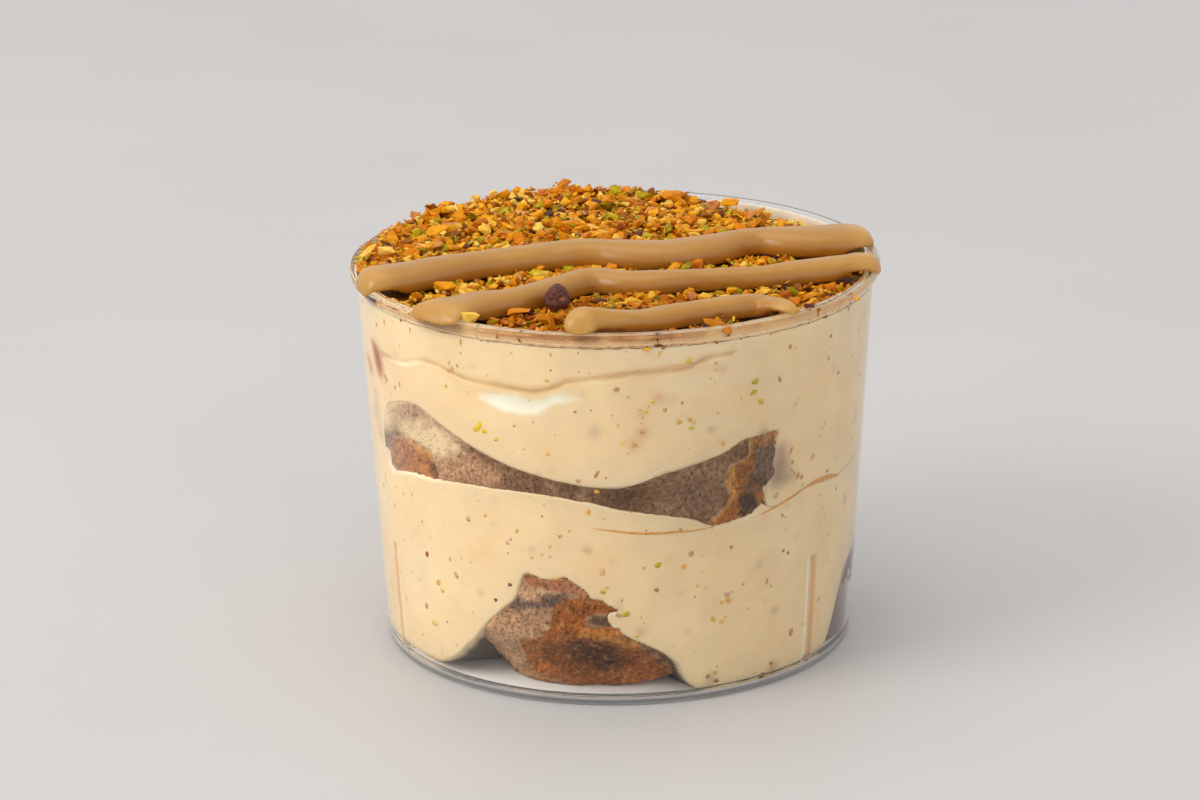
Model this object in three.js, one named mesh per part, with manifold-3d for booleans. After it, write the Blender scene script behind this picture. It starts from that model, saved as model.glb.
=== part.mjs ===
// A layered coffee dessert in a clear round cup, as one group of named meshes.
// Millimetres, +Z up. The origin is on the ground under the middle of the cup, and the front faces -Y.
// Angles run round the cup in degrees from the front, towards +X at the right.
import * as THREE from "three";
import { mergeVertices } from "three/addons/utils/BufferGeometryUtils.js";
import Module from "manifold-3d";

const wasm = await Module();
wasm.setup();

// Driving dimensions.
const GAP = 0.3; // clearance between neighbouring pieces
const CUP = {
  height: 65.6,
  baseRadius: 40, // outside of the wall at the ground
  topRadius: 44, // outside of the wall under the lip
  wall: 1.0,
  lipRadius: 45,
  lipHeight: 1.4,
  edgeRound: 0.25,
  floor: 1.2,
  footHeight: 0.5, // how far the foot ring stands below the floor's underside
  footInner: 36.5,
  footOuter: 39.4,
  footRise: 0.8,
  innerRound: 0.9, // bevel between floor and wall
  segments: 60,
};
// A stacking rib inside the wall; its root goes into the wall and floor, and its top is bevelled.
const RIB = {
  width: 1.5, depth: 1.3, top: 21, count: 3, firstAngle: 52.5, root: 0.5, bevel: 0.7, bevelHeight: 1.5,
};
const FOOD = { sectors: 60, firstAngle: 2 };
const CREAM_TOP_CENTRE = 63.5;
const CREAM_JOINT_CENTRE = 38.5;
const SPONGE_TOP_CENTRE = 43.4;
const SPONGE_BOTTOM_CENTRE = 34.6;
const BED_TOP_CENTRE = 65.7;
// How uneven skins are: the height of their bumps, and the bumps' width.
const ROUGH = {
  spongeFace: { height: 0.45, width: 2.6 },
  spongeEdge: { height: 0.8, width: 3 },
  lump: { height: 0.55, width: 4.5 },
  bed: { height: 0.35, width: 4 },
  bedEdge: { height: 0.14, width: 4 },
};
// Three crossed waves make a skin uneven, each bent by another: by how much, how fast, and from where.
const WAVES = [
  { along: "x", bentBy: "y", bend: 1.7, rate: 0.7, start: 1.3 },
  { along: "y", bentBy: "z", bend: 1.9, rate: 0.6, start: 2.1 },
  { along: "z", bentBy: "x", bend: 1.6, rate: 0.8, start: 0.4 },
];
const WAVE_LENGTH = 2.3; // in widths of a bump
const WAVE_PEAK = 2.2; // what the three waves' sum seldom passes
const NUTS = {
  count: 104,
  largest: 2.0, // half the length of a piece
  smallest: 1.15,
  flatness: 0.6,
  cornerIn: 0.4, // how far a corner may be pushed in, as a share
  stretch: 0.3,
  tilt: 0.45, // radians to either side
  turn: 4, // degrees that a piece may lie off the even spread, to either side
  spread: 0.97,
  skip: 37, // order in which the spread's rings are filled, so that large pieces lie everywhere
  proud: 0.25, // height of a piece's middle over the bed, as a share of its size
  wallRoom: 1.35, // least distance from the wall, as a share of its size
  seed: 7,
};
const HAZELNUT = { x: -9.6, y: -27.4, z: 66.2, radius: 2.3 };

// Heights round the cup's wall, as [angle, height] pairs that a smooth curve joins.
const SPONGE_TOP = [
  [-72, 44.2], [-62, 47.4], [-51, 48.5], [-40, 45.9], [-27, 42.1], [-12, 39.5], [0, 38.8],
  [10, 40.7], [24, 43.4], [33, 45.6], [42, 45.2], [75, 43.5], [115, 45], [140, 48.2], [165, 44.5],
  [195, 42.5], [222, 45.5], [255, 44],
];
const SPONGE_BOTTOM = [
  [-72, 33.5], [-55, 35.8], [-27, 37.3], [-12, 36.6], [0, 34.8], [14, 32.9], [22, 30.2],
  [30, 31.2], [42, 34], [75, 36], [115, 35], [140, 37.5], [165, 38.2], [195, 34], [222, 32.5],
  [255, 34.5],
];
// Where the two creams meet: on the wall it shows as a line wherever there is no sponge.
const CREAM_JOINT = [
  [-72, 39], [-50, 42], [-27, 39.8], [-12, 38], [0, 36.8], [14, 36.8], [28, 37], [36.5, 32.2],
  [49, 33.7], [62, 32.9], [90, 36], [118, 39.5], [140, 42.8], [165, 41.3], [195, 38.2], [222, 39],
  [255, 37.5],
];
// How far the middle sponge reaches from the axis: over 43 it lies against the wall.
const SPONGE_REACH = [
  [-100, 33], [-80, 35], [-70, 48], [-40, 52], [0, 52], [30, 50], [38, 46], [42, 34], [60, 31],
  [90, 33], [108, 38], [116, 50], [165, 52], [212, 49], [224, 36], [242, 32],
];
const CREAM_TOP_EDGE = [
  [-90, 63.4], [0, 63.2], [60, 62.9], [110, 62.6], [140, 62.3], [180, 63.4], [225, 63.6],
];
const BED_TOP_EDGE = [
  [-90, 65.0], [-40, 64.7], [0, 64.6], [45, 64.5], [90, 64.4], [130, 63.9], [155, 64.2],
  [180, 65.2], [225, 65.4],
];
// The crease in the upper cream and the air pocket under it.
const CREASE = {
  track: [[-66, 54.8], [-49, 56.6], [-21, 55.1], [4, 58.4], [26, 60.5]], half: 0.55, depth: 0.6,
};
const POCKET = { track: [[-35, 54.2], [-20, 52.9], [-3, 55.6]], half: 1.9, depth: 0.75 };

const HOLLOW = { stepsPerPoint: 3, sides: 6, tip: 0.12 };

// Sponge pieces on the floor: an outline on the wall as [angle, height], and how far each goes in.
const BASE_SPONGES = {
  sponge_base_front: {
    outline: [
      [-34, 8.5], [-31, 13.5], [-25, 18.2], [-21.5, 22.2], [-12, 22.4], [-6, 19.3], [0, 16.8],
      [1, 13.2], [8, 10.3], [13.5, 6.6], [11, 3.2], [3, 1.5], [-10, 1.5], [-20, 1.5], [-30, 3.8],
    ],
    depth: 24,
    setBack: 7,
    hollow: [
      [-61, 0.4], [-48, 4], [-36, 10], [-25, 18.4], [-12, 21], [1, 12.6], [9, 9.6], [14.5, 5.6],
      [17.5, 2.6], [23, 0.4],
    ],
    hollowDepth: 19,
  },
  sponge_base_right: {
    outline: [
      [63.5, 3], [66, 7], [70, 11.5], [76, 14.6], [84, 16], [95, 17.4], [104, 14.6], [110, 9],
      [111, 3.5], [106, 1.5], [92, 1.5], [76, 1.5], [66, 1.5],
    ],
    depth: 19,
    setBack: 5,
    hollow: [
      [57.5, 0.4], [63, 5.4], [67.5, 11.5], [72, 15.2], [82, 17], [98, 16], [107, 11], [113, 5],
      [117, 0.4],
    ],
    hollowDepth: 15,
  },
  sponge_base_back: {
    outline: [
      [170, 7], [174, 13], [181, 17.2], [189, 18.6], [196, 22], [205, 22.6], [213, 18], [219, 14],
      [225, 8.5], [224, 3], [215, 1.5], [198, 1.5], [182, 1.5], [172, 2.6],
    ],
    depth: 22,
    setBack: 6.5,
    hollow: [
      [156, 0.4], [163, 4], [170, 9], [180, 15.5], [200, 19.5], [217, 13.5], [226, 7], [233, 3],
      [240, 0.4],
    ],
    hollowDepth: 17,
  },
};
// Piped lines over the crumble: centre points [x, y, width, height], from left to right, and the
// height at which each lies on the crumble.
const PIPED_LINES = [
  {
    rest: 65.8,
    points: [
      [-43.2, -14.6, 9, 1.8], [-39.5, -14.4, 9.6, 2.6], [-34.5, -12.4, 8.6, 3], [-29, -8.9, 7.4, 3.1],
      [-23, -5.6, 6.4, 3.1], [-16.6, -3.1, 6.6, 3.1], [-10.2, -0.5, 7.6, 3.1], [-3.7, 0.3, 6.8, 3.2],
      [2.7, -0.9, 8.2, 3.2], [9.2, -0.9, 8.6, 3.2], [15.7, 1.7, 8.2, 3.2], [21, 5.4, 6.4, 3.1],
      [25, 6.6, 6.6, 3.1], [30, 6, 8.8, 3.1], [35.4, 6.4, 9.6, 3], [40, 8, 9.4, 2.6],
      [43.4, 9.4, 8, 1.8],
    ],
  },
  {
    rest: 65.5,
    points: [
      [-31.6, -32.2, 6.4, 1.5], [-27.5, -30.4, 9.2, 2.2], [-21.3, -28.2, 7.8, 2.6],
      [-15.6, -25.4, 5.8, 2.6], [-9.9, -19.3, 5.5, 2.6], [-4.1, -14.3, 5.6, 2.6],
      [1.7, -16.1, 6, 2.5], [7.5, -15.8, 5.6, 2.5], [13.3, -14.6, 4.8, 2.4],
      [19.2, -14.2, 4.6, 2.4], [25, -13.3, 5, 2.4], [31, -10.9, 6.1, 2.5], [37, -8.6, 6.2, 2.4],
      [41.5, -7.8, 5.8, 2.2], [44.3, -7.6, 5, 1.7],
    ],
  },
  {
    rest: 65.2,
    points: [
      [-7.4, -38.2, 7.6, 2.4], [-4.6, -38.6, 7.2, 2.4], [-1.2, -38.9, 5.6, 2.1], [3, -37, 5.8, 2.3],
      [8.7, -33.9, 5.6, 2.3], [14.3, -31.7, 4.8, 2.2], [19.9, -29.4, 4.8, 2.2], [22.9, -28.4, 5, 2.1],
      [25.6, -30.2, 4.6, 1.8], [27.8, -32.4, 3, 1.3], [29.4, -34.4, 1.6, 0.8],
    ],
  },
];
const PIPED = {
  stepLength: 3.8,
  sink: 1, // how deep its underside lies in the crumble
  rimRest: 65.95, // its underside where it lies over the rim
  liftFrom: 37.5, // distance from the axis at which it starts to rise to the rim
  liftTo: 41,
  reach: 44.85,
  endTaper: 0.8,
};
// A piped line's section, from one foot over the rounded top to the other, as shares of its size,
// and then its underside.
const PIPED_TOP = [
  [1, 0], [0.86, 0.62], [0.45, 0.93], [0, 1], [-0.45, 0.93], [-0.86, 0.62], [-1, 0],
];
const PIPED_UNDERSIDE = [[-0.9, -0.02], [0.9, -0.02]];

// A lump's rings, from the wall inwards: their share of its depth and of its outline.
const LUMP = {
  steps: [0, 0.03, 0.14, 0.34, 0.6, 0.85, 1],
  narrowing: [1, 1, 1, 0.98, 0.9, 0.66, 0.3],
  outside: 2.5,
  footHeight: 8,
  extraPoints: 8,
};
const SPONGE_LOOK = { color: 0x9a6640, roughness: 0.9 };
const CREAM_LOOK = { color: 0xf0d6a8, roughness: 0.55 };

const radians = THREE.MathUtils.degToRad;
const wallOutside = (z) => CUP.baseRadius + ((CUP.topRadius - CUP.baseRadius) * z) / CUP.height;
const wallInside = (z) => wallOutside(z) - CUP.wall;

/** A point at a distance from the cup's axis, at an angle round it. */
function polar(radius, degrees, z) {
  const a = radians(degrees);
  return new THREE.Vector3(radius * Math.sin(a), -radius * Math.cos(a), z);
}

/** A seeded row of numbers from 0 to 1. */
function randomRow(seed) {
  let state = seed;
  return () => {
    state = (state * 1664525 + 1013904223) % 4294967296;
    return state / 4294967296;
  };
}

/** The smooth unevenness of a skin at a point. */
function uneven(p, { height, width }) {
  const k = (2 * Math.PI) / (WAVE_LENGTH * width);
  const sum = WAVES.reduce(
    (total, { along, bentBy, bend, rate, start }) =>
      total + Math.sin(k * p[along] + bend * Math.sin(rate * k * p[bentBy] + start)),
    0,
  );
  return (height * sum) / WAVE_PEAK;
}

/** The smooth closed curve through [angle, value] pairs, as a function of the angle. */
function around(pairs) {
  const n = pairs.length;
  const at = (i) => {
    const turn = Math.floor(i / n);
    const [angle, value] = pairs[i - turn * n];
    return [angle + 360 * turn, value];
  };
  const slope = (i) => (at(i + 1)[1] - at(i - 1)[1]) / (at(i + 1)[0] - at(i - 1)[0]);
  return (degrees) => {
    const angle = THREE.MathUtils.euclideanModulo(degrees - pairs[0][0], 360) + pairs[0][0];
    let i = 0;
    while (at(i + 1)[0] <= angle) i += 1;
    const [x0, y0] = at(i);
    const [x1, y1] = at(i + 1);
    const span = x1 - x0;
    const t = (angle - x0) / span;
    const s = 1 - t;
    return (
      y0 * s * s * (1 + 2 * t) + y1 * t * t * (3 - 2 * t) +
      span * (slope(i) * t * s * s - slope(i + 1) * t * t * s)
    );
  };
}

/** A closed skin over rings of equally many points, each end closed by a fan round its centre. */
function loft(rings) {
  const n = rings[0].length;
  const points = rings.flat();
  const faces = [];
  for (let k = 0; k < rings.length - 1; k += 1) {
    for (let i = 0; i < n; i += 1) {
      const j = (i + 1) % n;
      const [a, b, c, d] = [k * n + i, k * n + j, (k + 1) * n + j, (k + 1) * n + i];
      faces.push(a, b, c, a, c, d);
    }
  }
  const centreOf = (ring) =>
    ring.reduce((sum, p) => sum.add(p), new THREE.Vector3()).divideScalar(ring.length);
  const last = (rings.length - 1) * n;
  for (let i = 0; i < n; i += 1) {
    const j = (i + 1) % n;
    faces.push(points.length, j, i, points.length + 1, last + i, last + j);
  }
  points.push(centreOf(rings[0]), centreOf(rings[rings.length - 1]));
  return new THREE.BufferGeometry().setFromPoints(points).setIndex(faces);
}

/** A closed geometry as a solid that can be joined and cut. */
function solid(geometry) {
  const bare = geometry.clone();
  bare.deleteAttribute("normal");
  bare.deleteAttribute("uv");
  const merged = mergeVertices(bare, 1e-4);
  const triVerts = new Uint32Array(merged.index.array);
  const make = () =>
    new wasm.Manifold(
      new wasm.Mesh({ numProp: 3, vertProperties: merged.attributes.position.array, triVerts }),
    );
  const made = make();
  if (made.volume() > 0) return made;
  triVerts.reverse();
  return make();
}

/** A solid's largest connected body, without the loose scraps that a cut can leave. */
function mainBody(made) {
  return made.decompose().reduce((best, body) => (body.volume() > best.volume() ? body : best));
}

/** A named mesh made of a solid. */
function piece(name, made, { color, roughness, opacity = 1 }) {
  const mesh = mainBody(made).getMesh();
  const geometry = new THREE.BufferGeometry();
  const positions = new Float32Array(mesh.numVert * 3);
  for (let i = 0; i < mesh.numVert; i += 1) {
    positions.set(mesh.vertProperties.subarray(i * mesh.numProp, i * mesh.numProp + 3), i * 3);
  }
  geometry.setAttribute("position", new THREE.BufferAttribute(positions, 3));
  geometry.setIndex(new THREE.BufferAttribute(mesh.triVerts, 1));
  geometry.computeVertexNormals();
  const material = new THREE.MeshStandardMaterial({
    color, roughness, metalness: 0, opacity, transparent: opacity < 1,
  });
  const named = new THREE.Mesh(geometry, material);
  named.name = name;
  return named;
}

/** The cup's wall, floor, foot ring and lip, turned from one profile. */
function cupShell() {
  const { height, lipHeight, lipRadius, edgeRound, floor, footHeight } = CUP;
  const lipBase = height - lipHeight;
  const mouth = wallInside(height);
  const profile = [
    [0, footHeight], [CUP.footInner, footHeight], [CUP.footInner + footHeight, 0],
    [CUP.footOuter, 0], [wallOutside(CUP.footRise), CUP.footRise],
    [wallOutside(lipBase - 1), lipBase - 1], [lipRadius - edgeRound, lipBase],
    [lipRadius, lipBase + edgeRound], [lipRadius, height - edgeRound],
    [lipRadius - edgeRound, height], [mouth + edgeRound, height], [mouth, height - edgeRound],
    [wallInside(floor + CUP.innerRound), floor + CUP.innerRound],
    [wallInside(floor) - CUP.innerRound, floor], [0, floor],
  ];
  const points = profile.map(([r, z]) => new THREE.Vector2(r, z));
  return new THREE.LatheGeometry(points, CUP.segments).rotateX(Math.PI / 2);
}

/** One stacking rib on the inside of the wall, as a wedge that stands on the floor. */
function ribShape(angle, grow) {
  const { root, bevel, bevelHeight } = RIB;
  const top = RIB.top + grow;
  const depth = RIB.depth + grow;
  const corner = (side, inwards, z) => {
    const across = polar(side * (RIB.width / 2 + grow), angle + 90, 0);
    return polar(wallInside(z) - inwards, angle, z).add(across);
  };
  const ring = (z, inwards) => [
    corner(-1, -root, z), corner(1, -root, z), corner(1, inwards, z), corner(-1, inwards, z),
  ];
  const rings = [ring(CUP.floor - root, depth), ring(top - bevelHeight, depth), ring(top, depth - bevel)];
  return solid(loft(rings));
}

const ribAngles = Array.from({ length: RIB.count }, (_, i) => RIB.firstAngle + (360 / RIB.count) * i);
const ribs = (grow) => ribAngles.map((angle) => ribShape(angle, grow));

function makeCup() {
  const shell = ribs(0).reduce((sum, rib) => sum.add(rib), solid(cupShell()));
  return piece("cup", shell, { color: 0xe9eef0, roughness: 0.06, opacity: 0.3 });
}

/**
 * A layer that fills the cup across, between two surfaces that are functions of angle and of the
 * share of the way from the axis to the wall.
 */
function layer({ top, bottom, reach, topRings, bottomRings, sideRows = 1, sectors = FOOD.sectors }) {
  const angles = Array.from({ length: sectors }, (_, i) => FOOD.firstAngle + (360 / sectors) * i);
  const sheet = (height, share) =>
    angles.map((a) => {
      const z = height(a, share);
      return polar(reach(a, z) * share, a, z);
    });
  const side = (k) =>
    angles.map((a) => {
      const z = THREE.MathUtils.lerp(bottom(a, 1), top(a, 1), k / sideRows);
      return polar(reach(a, z), a, z);
    });
  const rows = Array.from({ length: sideRows - 1 }, (_, k) => side(k + 1));
  return loft([
    ...bottomRings.map((share) => sheet(bottom, share)),
    ...rows,
    ...[...topRings].reverse().map((share) => sheet(top, share)),
  ]);
}

const foodReach = (angle, z) => wallInside(z) - GAP;
const HIDDEN_RINGS = [0.55, 1];
// The food's underside lies on the floor and rises at its edge, over the bevel.
const FLOOR_RINGS = [0.5, 0.97, 1];
const floorHeight = (angle, share) => CUP.floor + GAP + (share === 1 ? CUP.innerRound : 0);
// The crumble's bed has rings close enough for its bumps.
const BED = { sectors: 40, topRings: [0.1, 0.25, 0.4, 0.55, 0.7, 0.85, 1] };

const spongeTop = around(SPONGE_TOP);
const spongeBottom = around(SPONGE_BOTTOM);
const spongeReach = around(SPONGE_REACH);
const creamJoint = around(CREAM_JOINT);
const creamTopEdge = around(CREAM_TOP_EDGE);
const bedTopEdge = around(BED_TOP_EDGE);

/** The height of a surface that has one profile on the wall and levels out towards the axis. */
const levelling = (edge, centre) => (angle, share) =>
  THREE.MathUtils.lerp(centre, edge(angle), share ** 2);
const creamTop = levelling(creamTopEdge, CREAM_TOP_CENTRE);
const creamJointHeight = levelling(creamJoint, CREAM_JOINT_CENTRE);

/** The sponge sheet between the creams, larger by `grow` all over. */
function middleSponge(grow) {
  const rough = (angle, z) => uneven(polar(wallInside(0), angle, z), ROUGH.spongeFace);
  const top = levelling((a) => spongeTop(a) + rough(a, CUP.height), SPONGE_TOP_CENTRE);
  const bottom = levelling((a) => spongeBottom(a) + rough(a, 0), SPONGE_BOTTOM_CENTRE);
  return solid(
    layer({
      top: (a, share) => top(a, share) + grow,
      bottom: (a, share) => bottom(a, share) - grow,
      reach: (a, z) =>
        Math.min(foodReach(a, z), spongeReach(a) + uneven(polar(CUP.baseRadius, a, z), ROUGH.spongeEdge)) +
        grow,
      topRings: HIDDEN_RINGS,
      bottomRings: HIDDEN_RINGS,
      sideRows: 3,
    }),
  );
}

/** A smooth closed outline of [angle, height] pairs, as evenly spaced pairs. */
function smoothOutline(pairs, count) {
  const curve = new THREE.CatmullRomCurve3(
    pairs.map(([angle, z]) => new THREE.Vector3(angle, z, 0)), true, "centripetal",
  );
  return curve.getSpacedPoints(count).slice(0, count).map((p) => [p.x, p.y]);
}

/**
 * A lump that starts outside the wall, with its outline on the wall, and narrows inwards.
 * `setBack` draws its foot away from the wall, `rough` makes its skin uneven, and `grow`
 * makes it larger all over.
 */
function lump({ outline, depth, setBack = 0, rough = false, grow = 0 }) {
  const count = outline.length + LUMP.extraPoints;
  const pairs = smoothOutline(outline, count);
  const middleAngle = pairs.reduce((sum, [a]) => sum + a / count, 0);
  const middleZ = pairs.reduce((sum, [, z]) => sum + z / count, 0);
  const lowest = Math.min(...pairs.map(([, z]) => z));
  const mmPerDegree = radians(wallInside(0));
  const rings = LUMP.steps.map((share, k) =>
    pairs.map(([a, z]) => {
      const away = Math.hypot((a - middleAngle) * mmPerDegree, z - middleZ);
      const wider = LUMP.narrowing[k] * (1 + grow / away);
      const angle = middleAngle + (a - middleAngle) * wider;
      const height = lowest + (z - lowest) * LUMP.narrowing[k] + ((z - middleZ) / away) * grow;
      const foot = setBack * (1 - THREE.MathUtils.smoothstep(height, lowest, lowest + LUMP.footHeight));
      const inwards = (k === 0 ? -LUMP.outside : share * (depth + grow)) + foot;
      const p = polar(wallInside(height) - inwards, angle, height);
      const bump = rough && z > lowest + ROUGH.lump.height ? uneven(p, ROUGH.lump) : 0;
      return p.add(polar(-bump, angle, bump));
    }),
  );
  return solid(loft(rings));
}

/** Everything inside the wall, above the floor. */
function foodSpace() {
  return solid(
    layer({
      top: () => CUP.height, bottom: floorHeight, reach: foodReach,
      topRings: HIDDEN_RINGS, bottomRings: FLOOR_RINGS,
    }),
  );
}

/** A long hollow in the food's side, along a track of [angle, height] pairs, pointed at its ends. */
function sideHollow({ track, half, depth }) {
  const curve = new THREE.CatmullRomCurve3(track.map(([a, z]) => new THREE.Vector3(a, z, 0)));
  const steps = HOLLOW.stepsPerPoint * track.length;
  const rings = curve.getSpacedPoints(steps).map(({ x: angle, y: z }, k) => {
    const size = THREE.MathUtils.lerp(HOLLOW.tip, 1, Math.sin((Math.PI * k) / steps));
    return Array.from({ length: HOLLOW.sides }, (_, i) => {
      const turn = (i / HOLLOW.sides) * 2 * Math.PI;
      const height = z + half * size * Math.cos(turn);
      return polar(foodReach(angle, height) + depth * size * Math.sin(turn), angle, height);
    });
  });
  return solid(loft(rings));
}

const cutAll = (made, cutters) => cutters.reduce((rest, cutter) => rest.subtract(cutter), made);

function makeBaseSponge([name, sizes]) {
  const { outline, depth, setBack } = sizes;
  const raw = lump({ outline, depth, setBack, rough: true });
  return piece(name, cutAll(raw.intersect(foodSpace()), ribs(GAP)), SPONGE_LOOK);
}

function makeMiddleSponge() {
  return piece("sponge_middle", middleSponge(0), SPONGE_LOOK);
}

/** The lower cream: it fills the cup up to the joint, round the sponges and their air hollows. */
function makeLowerCream() {
  const body = solid(
    layer({
      top: creamJointHeight,
      bottom: floorHeight,
      reach: foodReach,
      topRings: HIDDEN_RINGS,
      bottomRings: FLOOR_RINGS,
      sideRows: 2,
    }),
  );
  const cutters = Object.values(BASE_SPONGES).flatMap((sizes) => [
    lump({ ...sizes, rough: true, grow: GAP }),
    lump({ outline: sizes.hollow, depth: sizes.hollowDepth }),
  ]);
  return piece("cream_lower", cutAll(body, [...cutters, ...ribs(GAP), middleSponge(GAP)]), CREAM_LOOK);
}

/** The upper cream, from the joint to just under the crumble, with its crease and air pocket. */
function makeUpperCream() {
  const body = solid(
    layer({
      top: creamTop,
      bottom: (angle, share) => creamJointHeight(angle, share) + GAP,
      reach: foodReach,
      topRings: HIDDEN_RINGS,
      bottomRings: HIDDEN_RINGS,
      sideRows: 2,
    }),
  );
  const cutters = [middleSponge(GAP), sideHollow(CREASE), sideHollow(POCKET)];
  return piece("cream_upper", cutAll(body, cutters), CREAM_LOOK);
}

/** The crumble's bed: a thin uneven layer on the upper cream. */
function crumbleBed() {
  const top = levelling(bedTopEdge, BED_TOP_CENTRE);
  return solid(
    layer({
      top: (a, share) => {
        const rough = share === 1 ? ROUGH.bedEdge : ROUGH.bed;
        return top(a, share) + uneven(polar(CUP.topRadius * share, a, 0), rough);
      },
      bottom: (a, share) => creamTop(a, share) + GAP,
      reach: foodReach,
      topRings: BED.topRings,
      bottomRings: HIDDEN_RINGS,
      sectors: BED.sectors,
    }),
  );
}

/** One broken nut: a block with pushed-in corners, turned at random and flatter than it is wide. */
function brokenNut(x, y, z, radius, random) {
  const block = new THREE.BoxGeometry(2, 2, 2);
  block.deleteAttribute("normal");
  block.deleteAttribute("uv");
  const shape = mergeVertices(block, 1e-3);
  const corners = shape.attributes.position;
  const pushedIn = () => 1 - NUTS.cornerIn * random();
  for (let i = 0; i < corners.count; i += 1) {
    const flat = pushedIn();
    corners.setXYZ(i, corners.getX(i) * flat, corners.getY(i) * pushedIn(), corners.getZ(i) * flat);
  }
  const length = radius * (1 + NUTS.stretch * random());
  shape.scale(length, (radius * radius) / length, radius * NUTS.flatness);
  shape.rotateX(NUTS.tilt * (2 * random() - 1));
  shape.rotateY(NUTS.tilt * (2 * random() - 1));
  shape.rotateZ(2 * Math.PI * random());
  return solid(shape.translate(x, y, z));
}

/** A piped line: a rounded band that follows its centre points and lies on the crumble. */
function pipedLine({ rest, points }) {
  const route = new THREE.CatmullRomCurve3(points.map(([x, y]) => new THREE.Vector3(x, y, 0)));
  const sizes = new THREE.CatmullRomCurve3(points.map(([, , w, h]) => new THREE.Vector3(w, h, 0)));
  const { stepLength, sink, rimRest, liftFrom, liftTo, reach } = PIPED;
  const length = route.getLength();
  const steps = Math.round(length / stepLength);
  const rings = Array.from({ length: steps + 1 }, (_, k) => {
    const t = k / steps;
    const centre = route.getPoint(t);
    const { x: width, y: height } = sizes.getPoint(t);
    const along = route.getTangent(t);
    const across = new THREE.Vector3(-along.y, along.x, 0);
    const nearEnd = Math.max(0, 1 - (Math.min(t, 1 - t) * length) / (width / 2));
    const round = Math.sqrt(1 - PIPED.endTaper * nearEnd ** 2);
    const onSection = ([side, up], below) => {
      const p = centre.clone().addScaledVector(across, (side * round * width) / 2);
      const away = Math.hypot(p.x, p.y);
      if (away > reach) p.multiplyScalar(reach / away);
      const lift = THREE.MathUtils.smoothstep(away, liftFrom, liftTo);
      const foot = THREE.MathUtils.lerp(rest, rimRest, lift);
      return p.setZ(foot + up * round * height - below * (1 - lift));
    };
    return [
      ...PIPED_TOP.map((point) => onSection(point, 0)),
      ...PIPED_UNDERSIDE.map((point) => onSection(point, sink)),
    ];
  });
  return solid(loft(rings));
}

/** The crumble with its larger nut pieces and the piped lines, all joined. */
function makeTopping() {
  const random = randomRow(NUTS.seed);
  const golden = Math.PI * (3 - Math.sqrt(5));
  const edge = wallInside(BED_TOP_CENTRE) - GAP;
  let topping = crumbleBed();
  for (let i = 0; i < NUTS.count; i += 1) {
    const size = THREE.MathUtils.lerp(NUTS.largest, NUTS.smallest, Math.sqrt(i / NUTS.count));
    const away = edge * NUTS.spread * Math.sqrt((((i * NUTS.skip) % NUTS.count) + 0.5) / NUTS.count);
    const angle = THREE.MathUtils.radToDeg(golden * i) + NUTS.turn * (2 * random() - 1);
    const reach = Math.min(away, edge - NUTS.wallRoom * size);
    const p = polar(reach, angle, 0);
    const ground = levelling(bedTopEdge, BED_TOP_CENTRE)(angle, reach / edge);
    topping = topping.add(brokenNut(p.x, p.y, ground + NUTS.proud * size, size, random));
  }
  const hazelnut = new THREE.IcosahedronGeometry(HAZELNUT.radius, 1);
  hazelnut.translate(HAZELNUT.x, HAZELNUT.y, HAZELNUT.z);
  topping = topping.add(solid(hazelnut));
  for (const line of PIPED_LINES) topping = topping.add(pipedLine(line));
  return piece("nut_topping", topping, { color: 0xb9782a, roughness: 0.75 });
}

const dessert = new THREE.Group();
dessert.add(
  makeCup(),
  makeLowerCream(),
  makeUpperCream(),
  makeMiddleSponge(),
  ...Object.entries(BASE_SPONGES).map(makeBaseSponge),
  makeTopping(),
);

export default dessert;
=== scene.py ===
"""The looks of a layered coffee dessert in a clear cup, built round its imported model.

Sizes are in millimetres and become metres when a mesh is made. Angles run round the cup in degrees
from its front, towards +X at the right, and heights are above the ground. A spot on the cup's wall
is a pair of an angle and a height.
"""

from __future__ import annotations

import itertools
import logging
import math
from collections.abc import Callable, Sequence
from dataclasses import dataclass, field
from enum import Enum

import bmesh
import bpy
import numpy as np
from mathutils import Matrix, Vector

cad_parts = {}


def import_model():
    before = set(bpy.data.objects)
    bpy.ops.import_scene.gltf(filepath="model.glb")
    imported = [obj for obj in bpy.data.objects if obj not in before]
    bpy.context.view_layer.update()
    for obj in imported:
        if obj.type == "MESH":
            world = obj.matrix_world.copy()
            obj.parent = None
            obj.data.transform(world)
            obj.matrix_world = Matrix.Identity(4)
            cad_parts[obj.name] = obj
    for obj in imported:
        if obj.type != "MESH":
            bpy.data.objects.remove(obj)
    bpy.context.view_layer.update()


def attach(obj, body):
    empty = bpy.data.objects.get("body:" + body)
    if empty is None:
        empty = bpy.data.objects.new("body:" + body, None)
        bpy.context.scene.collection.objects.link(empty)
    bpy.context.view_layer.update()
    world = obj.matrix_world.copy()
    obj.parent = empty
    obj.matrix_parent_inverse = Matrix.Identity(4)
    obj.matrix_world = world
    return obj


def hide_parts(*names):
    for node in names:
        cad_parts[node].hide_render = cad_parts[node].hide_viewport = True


MM = 0.001
ROOT = "root"
LOG = logging.getLogger("dessert")

Array = np.ndarray
Rgb = tuple[int, int, int]
Spots = Sequence[tuple[float, float]]
Bodies = list[list[int]]


class Slot(Enum):
    """The record's material slots."""

    CUP = "clear_cup"
    CREAM = "cream"
    SPONGE = "soaked_sponge"
    NUTS = "nut_crumble"
    PIPED = "piped_cream"


# Numbers and curves


def smoothstep(low: float, high: float, value: Array) -> Array:
    """The smooth rise from 0 at low to 1 at high, or a fall where high is below low."""
    share = np.clip((np.asarray(value, float) - low) / (high - low), 0.0, 1.0)
    return share * share * (3.0 - 2.0 * share)


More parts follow.
